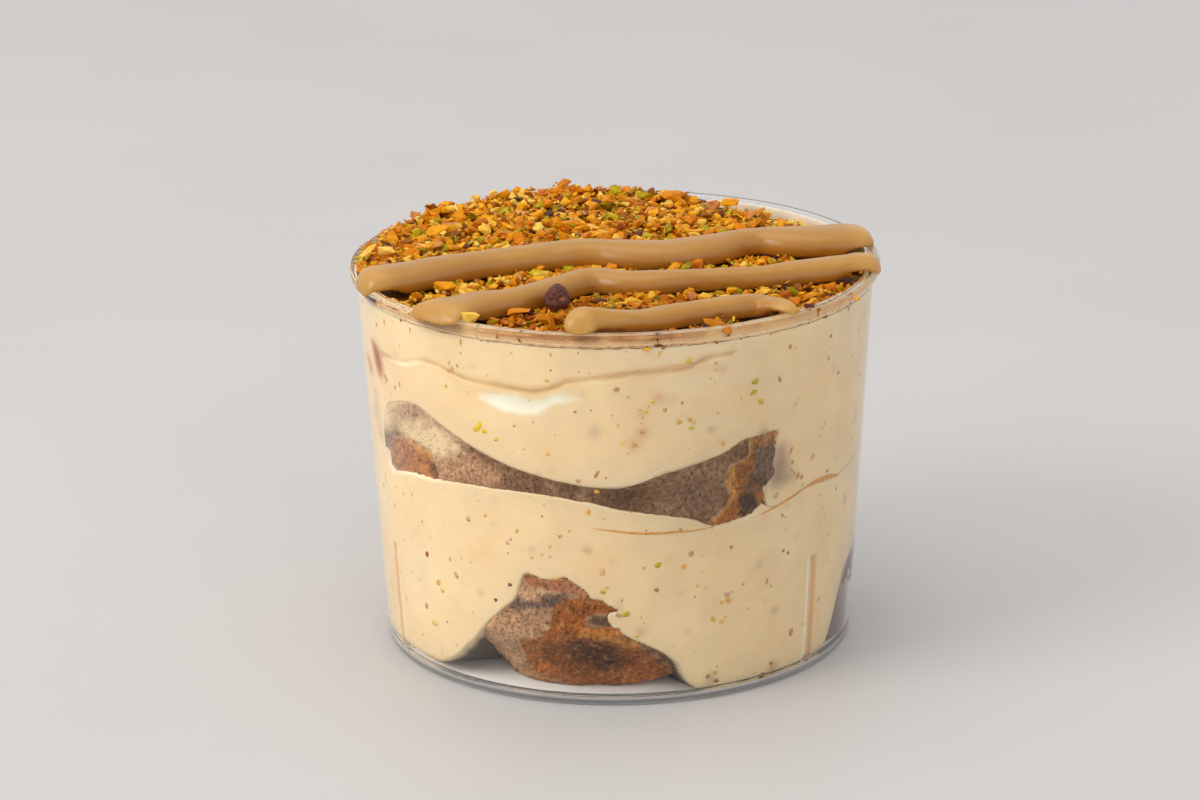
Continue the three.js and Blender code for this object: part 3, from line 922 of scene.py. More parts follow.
@dataclass
class ClearCup:
    """The clear cup: a turned wall with a foot ring, a lip and three stacking ribs."""

    size: CupSize
    sector_count: int = 288
    round_steps: int = 4
    foot_share: float = 0.1
    ring_lap: float = 0.45
    ring_skin: float = 0.03
    rows: tuple[float, ...] = (64, 48, 32, 22, 21.2, 20.8, 20.4, 20, 19.6, 19.2, 12, 6)

    def _profile(self) -> tuple[Array, Array]:
        """The turned outline from the underside's middle over the lip to the floor's middle.

        Returns:
            Its points as radius and height, and which of them are inside the cup.
        """
        s = self.size
        lip_base = s.height - s.lip_height
        mouth = s.inside(s.height)
        outer = [
            (0, s.floor_underside, 0),
            (s.foot_inner, s.floor_underside, 0.15),
            (s.foot_inner + s.floor_underside, 0, 0.15),
            (s.foot_outer, 0, 0.3),
            (s.outside(s.foot_rise), s.foot_rise, 0.3),
            (s.outside(s.floor_top), s.floor_top, 0),
            (s.outside(s.floor_top + 0.2), s.floor_top + 0.2, 0),
            (s.outside(lip_base - 0.8), lip_base - 0.8, 0.8),
            (s.lip_radius - 0.1, lip_base, 0.5),
            (s.lip_radius, s.height, 0.45),
            (mouth, s.height, 0.35),
        ]
        inner = [(s.inside(z), z, 0) for z in self.rows]
        low = s.floor_top + s.inner_round
        corner = [(s.inside(low), low, 0.2), (s.inside(low) - s.inner_round, s.floor_top, 0.5)]
        corners = np.array(outer + inner + corner + [(0, s.floor_top, 0)], float)
        points = [corners[0, :2]]
        for before, here, after in zip(corners, corners[1:], corners[2:]):
            if not here[2]:
                points.append(here[:2])
                continue
            back, on = before[:2] - here[:2], after[:2] - here[:2]
            start = here[:2] + back * min(0.5, here[2] / np.hypot(*back))
            end = here[:2] + on * min(0.5, here[2] / np.hypot(*on))
            for t in np.linspace(0, 1, self.round_steps + 1):
                points.append((1 - t) ** 2 * start + 2 * t * (1 - t) * here[:2] + t * t * end)
        points = np.array([*points, corners[-1, :2]])
        inside = np.arange(len(points)) > np.argmax(points[:, 1] == points[:, 1].max())
        return points, inside & (points[:, 1] < s.height - 1) & (points[:, 0] > s.foot_inner)

    def build(self) -> tuple[bpy.types.Object, bpy.types.Object, bpy.types.Object]:
        """The cup's wall, its foot ring and its floor.

        Returns:
            The three pieces.
        """
        size = self.size
        profile, inside = self._profile()
        angles = size.sectors(self.sector_count)
        radius = np.repeat(profile[:, :1], len(angles), axis=1)
        heights = profile[:, 1:]
        radius = radius - inside[:, None] * size.rib_depth * size.rib(angles[None], heights)
        rings = polar(radius[1:-1], angles[None], heights[1:-1])
        low = profile[1:-1, 1] < size.floor_top + self.foot_share
        cup = mesh_object("cup_wall", *hoop(rings[~low]))
        edges = cup.modifiers.new("edges", "WEIGHTED_NORMAL")
        edges.keep_sharp = True
        top = size.floor_top + self.ring_lap
        skin = size.outside(top) + self.ring_skin
        section = [
            (size.foot_inner, size.floor_underside), (size.foot_inner + size.floor_underside, 0.02),
            (size.foot_outer, 0.0), (size.foot_outer + 0.4, 0.25), (size.outside(0.8), 0.8),
            (size.outside(1.2) + self.ring_skin, 1.2), (skin, top), (skin - 0.3, top),
            (skin - 0.4, size.floor_top - 0.1), (size.foot_inner + 1.6, 0.6),
        ]
        ring = mesh_object("foot_ring", *hoop(np.array([polar(r, angles, z) for r, z in section])))
        # The ring is painted as the clear foot looks: pale, with a painted dark line of shade low
        # on it that is strongest at the front and left and faint on the lit right side.
        paint = Paint.even(len(section) * len(angles), (204, 201, 197))
        turn = np.tile(angles, len(section))
        dark = np.repeat([1.0 if 0.5 < z < 1.0 else 0.0 for _, z in section], len(angles))
        clear = RoundCurve(((-90, 0.5), (-50, 0.9), (0, 1.0), (30, 0.7), (60, 0.2), (120, 0.2)))
        paint.lay((112, 122, 126), dark * clear(turn))
        paint.store(ring)
        edge = size.foot_inner + 1.7
        low, high = 0.55, size.floor_top - 0.02
        plate = [(1.0, low), (edge, low), (edge, high), (1.0, high)]
        floor = mesh_object("cup_floor", *loft(np.array([polar(r, angles, z) for r, z in plate])))
        return baked(cup), ring, floor


# The layers


@dataclass(frozen=True)
class WallArea:
    """An area of the wall inside a smooth outline of spots."""

    outline: Spots
    centre: float = 0.0
    steps: int = 4

    def depth(self, size: CupSize, angle: Array, z: Array) -> Array:
        """How many millimetres inside the outline each spot lies, below 0 outside it.

        Args:
            size: The cup's form.
            angle: The spots' angles.
            z: Their heights.

        Returns:
            The depths.
        """
        line = smooth_line(self.outline, self.steps, closed=True)
        border = size.flat(line[:, 0], line[:, 1], self.centre)
        return depth_inside(size.flat(angle, z, self.centre), border)


@dataclass(frozen=True)
class Arch:
    """An air hollow between cream and wall that stands on the floor."""

    edge: Spots
    centre: float
    depth: float
    steepness: float = 0.28
    lip: float = 0.4

    def inside(self, size: CupSize, angle: Array, z: Array) -> Array:
        """How many millimetres inside the arch each spot lies, below 0 outside it.

        Args:
            size: The cup's form.
            angle: The spots' angles.
            z: Their heights.

        Returns:
            The depths.
        """
        line = smooth_line(self.edge, 3)
        feet = [(line[-1][0], -40.0), (line[0][0], -40.0)]
        border = size.flat(*np.vstack([line, feet]).T, self.centre)
        return depth_inside(size.flat(angle, z, self.centre), border)

    def inwards(self, size: CupSize, angle: Array, z: Array) -> Array:
        """How far the cream stays behind the wall at each spot, in millimetres."""
        inside = np.maximum(self.inside(size, angle, z), 0)
        return self.depth * (1 - np.exp(-self.steepness * inside)) * smoothstep(0, self.lip, inside)


@dataclass(frozen=True)
class Layers:
    """Where the layers meet the cup's wall, and how high they lie at its axis."""

    cream_top: RoundCurve = RoundCurve(((-90, 63.4), (0, 63.2), (60, 62.9), (110, 62.6),
        (140, 62.3), (180, 63.4), (225, 63.6)))
    bed_top: RoundCurve = RoundCurve(((-90, 65), (-40, 64.7), (0, 64.6), (45, 64.5), (90, 64.4),
        (130, 63.9), (155, 64.2), (180, 65.2), (225, 65.4)))
    joint: RoundCurve = RoundCurve(((-72, 39), (-50, 42), (-27, 39.8), (-12, 38), (0, 36.8),
        (14, 36.8), (28, 37), (36.5, 32.2), (49, 33.7), (62, 32.9), (90, 36), (118, 39.5),
        (140, 42.8), (165, 41.3), (195, 38.2), (222, 39), (255, 37.5)))
    sponge_top: RoundCurve = RoundCurve(((-72, 44.2), (-62, 47.4), (-51, 48.5), (-40, 45.9),
        (-27, 42.1), (-12, 39.5), (0, 38.8), (10, 40.7), (24, 43.4), (33, 45.6), (42, 45.2),
        (75, 43.5), (115, 45), (140, 48.2), (165, 44.5), (195, 42.5), (222, 45.5), (255, 44)))
    sponge_bottom: RoundCurve = RoundCurve(((-72, 33.5), (-55, 35.8), (-27, 37.3), (-12, 36.6),
        (0, 34.8), (14, 32.9), (22, 30.2), (30, 31.2), (42, 34), (75, 36), (115, 35), (140, 37.5),
        (165, 38.2), (195, 34), (222, 32.5), (255, 34.5)))
    sponge_reach: RoundCurve = RoundCurve(((-100, 33), (-80, 35), (-72, 48), (-40, 52), (0, 52),
        (30, 50), (39, 46), (43, 34), (60, 31), (90, 33), (108, 38), (116, 50), (165, 52),
        (212, 49), (224, 36), (242, 32)))
    cream_top_centre: float = 63.5
    bed_top_centre: float = 65.3
    joint_centre: float = 38.5
    sponge_top_centre: float = 43.4
    sponge_bottom_centre: float = 34.6
    sponge_spans: tuple[tuple[float, float], ...] = ((-66.0, 34.5), (113.0, 216.0))

    def sponge_shows(self, angle: Array, soft: float = 2.0) -> Array:
        """1 where the middle sponge lies against the wall, and 0 elsewhere.

        Args:
            angle: The angles.
            soft: Degrees over which it comes and goes.

        Returns:
            The shares, from 0 to 1.
        """
        share = np.zeros(np.shape(angle))
        for start, end in self.sponge_spans:
            middle, half = (start + end) / 2, (end - start) / 2
            off = np.abs((np.asarray(angle, float) - middle + 180) % 360 - 180)
            share = np.maximum(share, 1 - smoothstep(half - soft, half + soft, off))
        return share


FRONT_SPONGE_FACE = WallArea(((-67.6, 42), (-66, 44.8), (-62, 47), (-57, 48.3), (-51, 48.7),
    (-45, 47.2), (-36, 44.5), (-27, 42.1), (-18, 40.4), (-8, 39.1), (0, 38.8), (6, 39.9), (10, 41),
    (17, 42.2), (24, 43.5), (28.9, 45.3), (33.8, 45.5), (39.1, 45.4), (38.4, 42.4), (37.9, 39.8),
    (38.2, 38), (35.8, 36), (35.3, 33.4), (32, 31.4), (27.5, 30.9), (23.6, 30.6), (21.9, 29.9),
    (20.8, 31.5), (14, 32.9), (7, 33.9), (0, 34.8), (-6, 35.9), (-12, 36.6), (-20, 37.1), (-30, 37),
    (-40, 36.7), (-48, 35.8), (-55, 35.5), (-62, 34.5), (-65.2, 34), (-67.7, 36.4), (-68.3, 40)),
    centre=-16.0)
BACK_SPONGE_FACE = WallArea(((111, 43.6), (116, 45.2), (126, 47), (140, 48.2), (152, 46.6),
    (165, 44.5), (180, 43.2), (195, 42.5), (208, 43.6), (217, 44.6), (219.5, 42), (217, 38.5),
    (218.5, 35), (213, 33.2), (204, 33.3), (195, 34), (181, 36.4), (165, 38.2), (152, 38.2),
    (140, 37.5), (127, 36), (116, 35.2), (112, 37.8), (113.5, 41)), centre=165.0)
ARCHES = (
    Arch(((-61, 0.4), (-50.5, 2.6), (-44, 5), (-39.5, 7.9), (-36, 10.2), (-33.4, 12.6), (-28.4, 16),
        (-25.2, 18.2), (-24, 20.4), (-22.9, 22.4), (-21.4, 22.9), (-17.7, 22), (-15.2, 22.3),
        (-12.8, 22.7), (-10.5, 21.7), (-7.9, 20.4), (-6.8, 19.2), (-4.5, 19), (-2.6, 17.9),
        (0.4, 17.1), (-2.3, 16.6), (-3, 15.6), (-2.2, 14.4), (-1.5, 13.9), (0.1, 14), (-0.1, 13.2),
        (2.5, 12), (7.1, 10.4), (10.8, 8.8), (13.7, 6.8), (15.4, 4.5), (18.1, 2.2), (23, 0.4)),
        centre=-15.0, depth=19.0),
    Arch(((57.5, 0.4), (63, 5.4), (67.5, 11.5), (72, 15.2), (82, 17), (98, 16), (107, 11), (113, 5),
        (117, 0.4)), centre=87.0, depth=15.0),
    Arch(((156, 0.4), (163, 4), (170, 9), (180, 15.5), (200, 19.5), (217, 13.5), (226, 7), (233, 3),
        (240, 0.4)), centre=198.0, depth=17.0),
)


@dataclass(frozen=True)
class Speck:
    """A crumb, a stain or a painted glint or shadow on the wall: its place, length, breadth and
    lean.
    """

    angle: float
    z: float
    length: float
    breadth: float
    colour: Rgb
    lean: float = 0.0


CREAM_STAINS_AND_SHADE = (
    Speck(-70.4, 55.6, 0.9, 0.8, (194, 124, 66)),
    Speck(-68.7, 54.8, 1.3, 1.0, (176, 98, 40)),
    Speck(-68.0, 53.6, 1.5, 1.0, (172, 94, 38)),
    Speck(-67.4, 52.4, 1.5, 1.0, (176, 98, 42)),
    Speck(-67.0, 51.3, 1.1, 0.8, (200, 124, 62)),
    Speck(-75.6, 51.8, 1.0, 0.9, (210, 132, 68)),
    Speck(-74.0, 50.6, 1.2, 0.9, (206, 124, 62)),
    Speck(8.9, 54.2, 1.1, 0.45, (214, 150, 92)),
    Speck(5.3, 51.6, 0.9, 0.35, (214, 150, 92)),
    Speck(5.3, 48.5, 1.2, 0.4, (206, 140, 80)),
    Speck(3.5, 46.3, 1.3, 0.4, (206, 140, 80)),
    Speck(-5.2, 48.6, 1.1, 0.4, (176, 158, 148)),
    # These grey-brown patches right of the middle sponge are painted shadow.
    Speck(39.4, 41.8, 1.6, 0.55, (164, 134, 110)),
    Speck(39.5, 39.4, 2.0, 0.7, (150, 122, 102)),
    Speck(38.8, 37.0, 1.9, 0.7, (150, 122, 100)),
    Speck(41.6, 36.8, 1.5, 0.5, (164, 134, 108)),
    Speck(43.8, 36.4, 1.2, 0.3, (176, 146, 118)),
    # These grey patches at the far left are painted shade.
    Speck(-72.5, 43.5, 2.0, 0.55, (206, 186, 166)),
    Speck(-70.8, 40.0, 1.8, 0.5, (206, 186, 166)),
    Speck(-71.5, 46.4, 1.6, 0.4, (196, 176, 158)),
    Speck(39.6, 13.2, 0.9, 0.5, (190, 160, 120)),
    Speck(4.8, 13.2, 1.0, 0.45, (196, 160, 110)),
    Speck(22.0, 3.4, 1.2, 0.5, (170, 140, 116)),
    Speck(40.0, 2.6, 1.2, 0.5, (190, 130, 76)),
)


@dataclass
class Creams:
    """The two layers of cream, pressed against the wall and folded where they were spooned in."""

    size: CupSize
    layers: Layers
    noise: Noise
    contact: float = 0.06
    lap: float = 0.35
    sector_count: int = 660
    row_height: float = 0.4
    sponge_recess: float = 2.2
    rib_grip: float = 0.06
    crease: Spots = (
        (-66.5, 54.9), (-60, 55), (-54.7, 55.3), (-48.7, 56.7), (-44, 56.9), (-40.9, 56.4),
        (-34.2, 55.5), (-27.5, 55.4), (-21.3, 55.1), (-18.3, 55), (-15.3, 55.6), (-12.6, 56.4),
        (-11, 57.1), (-5.7, 57.4), (4, 58.5), (11.8, 58.7), (15.5, 59), (17.6, 59.7), (20.5, 60.3),
        (25.6, 60.5),
    )
    floor_gap: RoundCurve = RoundCurve(((-100, 1.6), (-60, 2.2), (-40, 1.2), (20, 0.5), (60, 0.7),
        (120, 1.2), (200, 1)))
    floor_gap_top: float = 3.4
    crease_half: float = 0.35
    crease_depth: float = 0.2
    fold_shadow: WallArea = WallArea(((-12, 57.2), (-5.9, 58.5), (0.6, 59.3), (7.1, 59.7), (13.7, 60.2),
        (15.4, 59.4), (11.8, 58.7), (4, 58.4), (-5.7, 57.3), (-11, 56.9)))
    air_pocket_and_highlight: WallArea = WallArea(((-32.6, 52.9), (-29.6, 54.1), (-26.4, 54.5), (-23.3, 54.5),
        (-19.8, 54), (-16.6, 54.3), (-13.9, 55.4), (-11, 55), (-7.4, 54.2), (-13, 52.8),
        (-16, 51.6), (-19, 50.6), (-24.7, 50.6), (-29.8, 51.7)))
    pocket_depth: float = 0.2
    dab_seed: int = 21
    dab_count: int = 150
    dab_colours: tuple[Rgb, ...] = (
        (214, 158, 84), (196, 150, 118), (170, 146, 130), (190, 168, 90),
    )

    def _crease_off(self, angle: Array, z: Array) -> Array:
        """Distance of each spot from the crease in the upper cream."""
        line = smooth_line(self.crease, 4)
        return distance_to(self.size.flat(angle, z, 0), self.size.flat(line[:, 0], line[:, 1], 0))

    def _inwards(self, angle: Array, z: Array) -> Array:
        """How far the cream stays behind the wall at each spot.

        Args:
            angle: The spots' angles.
            z: Their heights.

        Returns:
            The distances in millimetres.
        """
        inwards = np.zeros(len(angle))
        for face in (FRONT_SPONGE_FACE, BACK_SPONGE_FACE):
            covered = face.depth(self.size, angle, z)
            inwards = np.maximum(inwards, self.sponge_recess * smoothstep(0.1, 0.9, covered))
        for arch in ARCHES:
            inwards = np.maximum(inwards, arch.inwards(self.size, angle, z))
        rib = self.size.rib(angle, z, -self.rib_grip)
        inwards = np.maximum(inwards, self.size.rib_depth * rib)
        groove = 1 - smoothstep(0, 2 * self.crease_half, self._crease_off(angle, z))
        hollow = smoothstep(0, 2.0, self.air_pocket_and_highlight.depth(self.size, angle, z))
        gap = self.floor_gap(angle) * (1 - smoothstep(self.size.floor_top, self.floor_gap_top, z))
        gap *= 1 + 0.4 * self.noise.rough(polar(self.size.base_radius, angle, 0.0), 5.0, 2)
        return inwards + self.crease_depth * groove + self.pocket_depth * hollow + gap

    def _layer(
        self,
        name: str,
        low: Array,
        high: Array,
        low_centre: float,
        high_centre: float,
        angles: Array,
    ) -> bpy.types.Object:
        """A layer across the cup between two edges on its wall.

        Args:
            name: The piece's name.
            low: Height of its lower edge at each angle.
            high: Height of its upper edge at each angle.
            low_centre: Height of its underside at the cup's axis.
            high_centre: Height of its top at the cup's axis.
            angles: The angles.

        Returns:
            The piece.
        """
        rows = math.ceil((high - low).mean() / self.row_height)
        z = lerp(low, high, np.linspace(0, 1, rows + 1)[:, None])
        turn = np.broadcast_to(angles, z.shape)
        inwards = self._inwards(turn.ravel(), z.ravel()).reshape(z.shape)
        radius = self.size.inside(z) + self.contact - inwards
        under = lid(radius[0], angles, low_centre, low)
        over = lid(radius[-1], angles, high_centre, high)
        return mesh_object(name, *loft(np.concatenate([under, polar(radius, turn, z), over[::-1]])))

    def _painted(self, piece: bpy.types.Object) -> bpy.types.Object:
        """Paints a layer: paler, a painted highlight, where air lies over it, and painted shade in
        its folds.

        Args:
            piece: The layer.

        Returns:
            The same layer.
        """
        points = points_of(piece)
        angle = turn_of(points)
        z = points[:, 2]
        wall = np.hypot(points[:, 0], points[:, 1]) > self.size.inside(z) - 1.5
        paint = Paint.even(len(points), (253, 226, 182))
        paint.lay((254, 233, 198), 0.5 * self.noise.patches(points, 16, 0.0, 0.6))
        paint.lay((250, 214, 160), 0.45 * self.noise.patches(points + 60, 9, 0.1, 0.8))
        # Painted shadow in the wedge under the ledge where the upper cream folds over.
        fold_shadow = smoothstep(0.0, 0.8, self.fold_shadow.depth(self.size, angle, z))
        paint.lay((232, 190, 130), 0.8 * fold_shadow * wall)
        # Painted shade along the crease, darkest at its middle line, in broken stretches.
        off = self._crease_off(angle, z)
        broken = self.noise.patches(points + 80, 7, -0.6, 0.3, 2) * wall
        paint.lay((228, 186, 128), 0.5 * broken * (1 - smoothstep(0.1, 1.5, off)))
        paint.lay((206, 158, 96), 0.75 * broken * (1 - smoothstep(0.1, 0.6, off)))
        for rib_angle in self.size.rib_angles:
            side, strong = (1, 1.0) if rib_angle < 180 else (-1, 0.2)
            beside = side * self.size.flat(angle, z, rib_angle)[:, 0]
            tall = 1 - smoothstep(self.size.rib_top - 0.6, self.size.rib_top, z)
            shade = smoothstep(0.5, 0.8, beside) * (1 - smoothstep(1.0, 1.6, beside))
            paint.lay((232, 190, 134), 0.5 * strong * shade * tall * wall)
            glint = 1 - smoothstep(0.2, 0.4, np.abs(beside + 1.05))
            paint.lay((255, 252, 244), strong * glint * tall * wall)
        for dab in self._dabs():
            off = self.size.flat(angle, z, dab.angle) - np.array([0.0, dab.z])
            near = np.exp(-(np.einsum("ij,ij->i", off, off)) / dab.length**2)
            paint.lay(dab.colour, dab.breadth * near * wall)
        # Painted highlight, paler than the cream, where the air pocket lies between cream and wall.
        deep = self.air_pocket_and_highlight.depth(self.size, angle, z) + 0.5 * self.noise.rough(points, 2.2, 3)
        paint.lay((255, 247, 226), smoothstep(-0.3, 0.9, deep) * wall)
        # Painted shade: the cream deep inside the hollows under the arches is painted dark brown.
        hollow = np.max([arch.inwards(self.size, angle, z) for arch in ARCHES], axis=0)
        deep = self.size.inside(z) - np.hypot(points[:, 0], points[:, 1])
        paint.lay((44, 33, 25), 0.95 * smoothstep(0.3, 2.4, deep) * (hollow > 0.2))
        paint.store(piece)
        return piece

    def _dabs(self) -> list[Speck]:
        """Soft patches: the named stains and painted shadows, and faint stains anywhere.

        Returns:
            The stains.
        """
        rng = np.random.default_rng(self.dab_seed)
        dabs = list(CREAM_STAINS_AND_SHADE)
        for _ in range(self.dab_count):
            colour = self.dab_colours[rng.integers(len(self.dab_colours))]
            spot = (rng.uniform(0, 360), rng.uniform(2, 62))
            dabs.append(Speck(*spot, rng.uniform(0.4, 0.9), rng.uniform(0.12, 0.4), colour))
        return dabs

    def build(self) -> tuple[bpy.types.Object, bpy.types.Object]:
        """The lower and the upper cream.

        Returns:
            The two pieces.
        """
        size, layers = self.size, self.layers
        angles = size.sectors(self.sector_count)
        shows = layers.sponge_shows(angles)
        ragged = self.lap + 0.25 * self.noise.rough(polar(size.base_radius, angles, 0.0), 2.2, 3)
        lower_edge = lerp(layers.joint(angles) + 0.05, layers.sponge_bottom(angles) + ragged, shows)
        upper_edge = lerp(layers.joint(angles) - 0.05, layers.sponge_top(angles) - ragged, shows)
        floor = np.full(len(angles), size.floor_top - 0.05)
        lower = self._layer(
            "cream_below", floor, lower_edge, size.floor_top - 0.05, layers.joint_centre - 1, angles
        )
        top = layers.cream_top(angles)
        upper = self._layer(
            "cream_above", upper_edge, top, layers.joint_centre + 1, layers.cream_top_centre, angles
        )
        return self._painted(lower), self._painted(upper)


@dataclass(frozen=True)
class Zone:
    """A patch of one colour on the wall's side of a piece, with a soft or a ragged border."""

    colour: Rgb
    outline: Spots
    share: float = 1.0
    soft: float = 0.8
    ragged: float = 0.3

    def cover(self, size: CupSize, angle: Array, z: Array, unevenness: Array) -> Array:
        """How much of the colour each spot takes.

        Args:
            size: The cup's form.
            angle: The spots' angles.
            z: Their heights.
            unevenness: Noise of about -1 to 1 at each spot.

        Returns:
            The shares, from 0 to 1.
        """
        centre = float(np.mean([spot[0] for spot in self.outline]))
        depth = WallArea(self.outline, centre, 3).depth(size, angle, z)
        border = depth + self.ragged * unevenness
        return self.share * smoothstep(-self.soft / 2, self.soft / 2, border)


@dataclass
class MiddleSponge:
    """The soaked sponge between the creams, pressed flat where it meets the wall."""

    size: CupSize
    layers: Layers
    noise: Noise
    contact: float = 0.1
    dip: float = 0.9
    overlap: float = 1.3
    fine_step: float = 0.38
    coarse_step: float = 3.0
    row_count: int = 54
    face_spans: tuple[tuple[float, float], ...] = ((-76.0, 46.0), (105.0, 226.0))
    crusts: tuple[Zone, ...] = (
        Zone((172, 106, 44), ((-66.4, 39.4), (-63.1, 41.4), (-56.9, 42.2), (-53, 41.6),
            (-48.4, 41.2), (-46.6, 39.4), (-44.6, 37.4), (-45.3, 35.9), (-55.2, 35.2),
            (-65.2, 33.8), (-68, 36.2)), soft=0.4, ragged=0.6),
        Zone((164, 98, 36), ((30.7, 45.6), (30.8, 42.2), (28.3, 41.4), (25.8, 40.6), (24.8, 38.4),
            (26.1, 36.2), (25.6, 34.4), (23.8, 33), (21.4, 31.2), (21.5, 29.6), (24.3, 29.6),
            (27.7, 30.6), (33, 31.2), (35.4, 33.8), (35.6, 36), (32.9, 37.6), (31.6, 39),
            (32.7, 40.5), (33.2, 45.6)), soft=0.3, ragged=0.5),
        Zone((176, 120, 62), ((30.5, 45.6), (33.8, 46), (39.6, 45.9), (39, 42.7), (36, 43.2),
            (32.5, 43.6)), soft=0.3, ragged=0.6),
        Zone((150, 96, 52), ((112.5, 43.8), (120, 46.4), (124.5, 45.6), (121.5, 41.5), (123, 37.5),
            (117.5, 35.2), (112, 37.6)), soft=0.4, ragged=0.6),
        Zone((158, 104, 58), ((217.6, 45), (211.5, 44), (208.5, 40.5), (210.5, 36.5), (208.5, 33.2),
            (214, 32.8), (219, 35), (217.5, 38.5), (220, 42)), soft=0.4, ragged=0.6),
    )
    tints: tuple[Zone, ...] = (
        Zone((192, 148, 112), ((-45.5, 42.6), (-36, 42.6), (-27.8, 40), (-30.3, 37), (-40.6, 36.7),
            (-45.6, 36.4)), soft=3.0),
        # A grey band along the top edge at the left: painted shade.
        Zone((196, 160, 134), ((-67, 43), (-64, 46.8), (-57, 49.2), (-50, 49.4), (-42, 47),
            (-35, 44.6), (-40, 43.6), (-47, 45), (-53.4, 44.4), (-60.6, 42.4)), soft=2.4,
            ragged=0.8),
        Zone((254, 228, 184), ((-59.5, 43.4), (-55, 44.9), (-49.4, 46.1), (-42.8, 45.1),
            (-37.7, 43), (-42.7, 40.8), (-47.7, 40.8), (-52.1, 41.6), (-58.5, 41.9)), share=0.95,
            soft=2.8, ragged=1.4),
        Zone((134, 110, 92), ((33.2, 43), (37.3, 42.6), (38.6, 40), (38.2, 36.9), (36.4, 36.6),
            (35.6, 36.2), (33.2, 37.8), (31.8, 39), (32.9, 40.5)), soft=0.7),
        Zone((214, 152, 74), ((25.4, 39.6), (27.6, 40.6), (27.6, 38.2), (28.4, 35.4), (26.8, 34.6),
            (26.6, 36.4)), 0.8, 0.9, 0.7),
        # The two darkest patches in the right crust: painted shade in its pits.
        Zone((66, 42, 28), ((28.9, 35.2), (31, 35.8), (33.8, 34.6), (33.6, 32.4), (31, 31.6),
            (28.8, 32.6)), 0.95, 1.0, 0.9),
        Zone((104, 72, 48), ((30.4, 38.6), (32.4, 38.4), (35.4, 36.6), (34, 35), (30.8, 35.8)), 0.8,
            1.0, 0.9),
        Zone((253, 226, 182), ((-75, 41.2), (-75, 50.5), (-56, 50.5), (-59.5, 47), (-62.6, 44.6),
            (-63.6, 41.8)), 1.0, 4.6, 0.8),
        Zone((156, 124, 98), ((9, 41), (17, 42), (25, 42.4), (24, 34), (20, 32), (9, 34.6)), 0.6,
            2.6, 0.8),
        Zone((104, 76, 54), ((-15, 39.6), (0, 38.4), (5, 38.4), (4, 35), (-8, 37)), 0.6, 2.2, 0.8),
        Zone((104, 58, 22), ((-48.4, 38.9), (-46, 38.6), (-45.4, 36.8), (-48, 36.6)), 0.9, 0.7,
            0.5),
        Zone((226, 160, 84), ((-58, 42), (-53, 41.6), (-48.6, 40.9), (-46.8, 39.2), (-49, 39.6),
            (-55, 40.8)), 0.7, 1.0, 0.8),
    )
    rim_line: Spots = (
        (30.7, 45.4), (30.6, 42.1), (28.2, 41.5), (25.7, 40.7), (24.6, 38.4), (25.9, 36.2),
        (25.6, 34.5), (23.6, 33.1), (21, 31.6),
    )

    def _columns(self) -> Array:
        """Angles of the mesh's columns, closer where the sponge meets the wall.

        Returns:
            The angles, in rising order.
        """
        step = math.degrees(self.fine_step / self.size.base_radius)
        fine = [np.arange(start, end, step) for start, end in self.face_spans]
        (first, last), (back, end) = self.face_spans
        right = np.arange(last, back, self.coarse_step)
        left = np.arange(end, first + 360, self.coarse_step)
        return np.concatenate([fine[0], right, fine[1], left])

    def _face(self, points: Array, angle: Array, z: Array) -> Array:
        """How far past the wall's inner face the sponge reaches, below 0 where it falls short.

        Args:
            points: The points on the wall.
            angle: The spots' angles.
            z: Their heights.

        Returns:
            The distances in millimetres.
        """
        faces = (FRONT_SPONGE_FACE, BACK_SPONGE_FACE)
        covered = np.maximum(*(face.depth(self.size, angle, z) for face in faces))
        covered += 0.22 * self.noise.rough(points, 1.6, 3) - 0.05
        rough = self.noise.rough(points, 1.1, 3)
        crust = self._crust(points, angle, z)
        pits = self.noise.pits(points, 1.3) * smoothstep(-0.4, 0.4, rough)
        relief = 0.05 * (0.5 + 0.5 * rough) + crust * (0.45 + 0.35 * rough + 0.9 * pits)
        rim = smoothstep(-0.2, 0.25, covered)
        return self.contact * rim - self.dip * (1 - rim) - relief * rim

    def _crust(self, points: Array, angle: Array, z: Array) -> Array:
        """1 where the crust of the baked sponge shows, and 0 on its cut face."""
        uneven = self.noise.rough(points + 40, 2.0, 3)
        return np.max([zone.cover(self.size, angle, z, uneven) for zone in self.crusts], axis=0)

    def _painted(self, piece: bpy.types.Object, points: Array, angle: Array, z: Array) -> None:
        """Paints crumb, crust, some painted shade, and the cream that is smeared over them.

        Args:
            piece: The sponge.
            points: Its points.
            angle: Their angles.
            z: Their heights.
        """
        cloud = self.noise.rough(points, 5.0, 3)
        fine = self.noise.rough(points + 9, 0.9, 3)
        paint = Paint.even(len(points), (134, 100, 71))
        paint.lay((172, 138, 108), smoothstep(-0.1, 0.7, cloud))
        paint.lay((104, 76, 56), 0.75 * smoothstep(-0.1, 0.6, fine))
        uneven = self.noise.rough(points + 40, 2.0, 3)
        for zone in self.crusts + self.tints:
            paint.lay(zone.colour, zone.cover(self.size, angle, z, uneven))
        crust = self._crust(points, angle, z)
        paint.lay((206, 148, 82), 0.5 * crust * self.noise.patches(points + 5, 0.8, 0.15, 0.7, 2))
        paint.lay((84, 48, 26), 0.75 * crust * self.noise.patches(points + 70, 1.5, 0.2, 0.7))
        rim = smooth_line(self.rim_line, 4)
        off = distance_to(self.size.flat(angle, z, 0), self.size.flat(rim[:, 0], rim[:, 1], 0))
        paint.lay((214, 150, 70), 0.75 * crust * (1 - smoothstep(0.4, 1.2, off + 0.4 * cloud)))
        paint.lay((196, 158, 128), 0.8 * (1 - smoothstep(0.05, 0.4, off)))
        paint.store(piece)

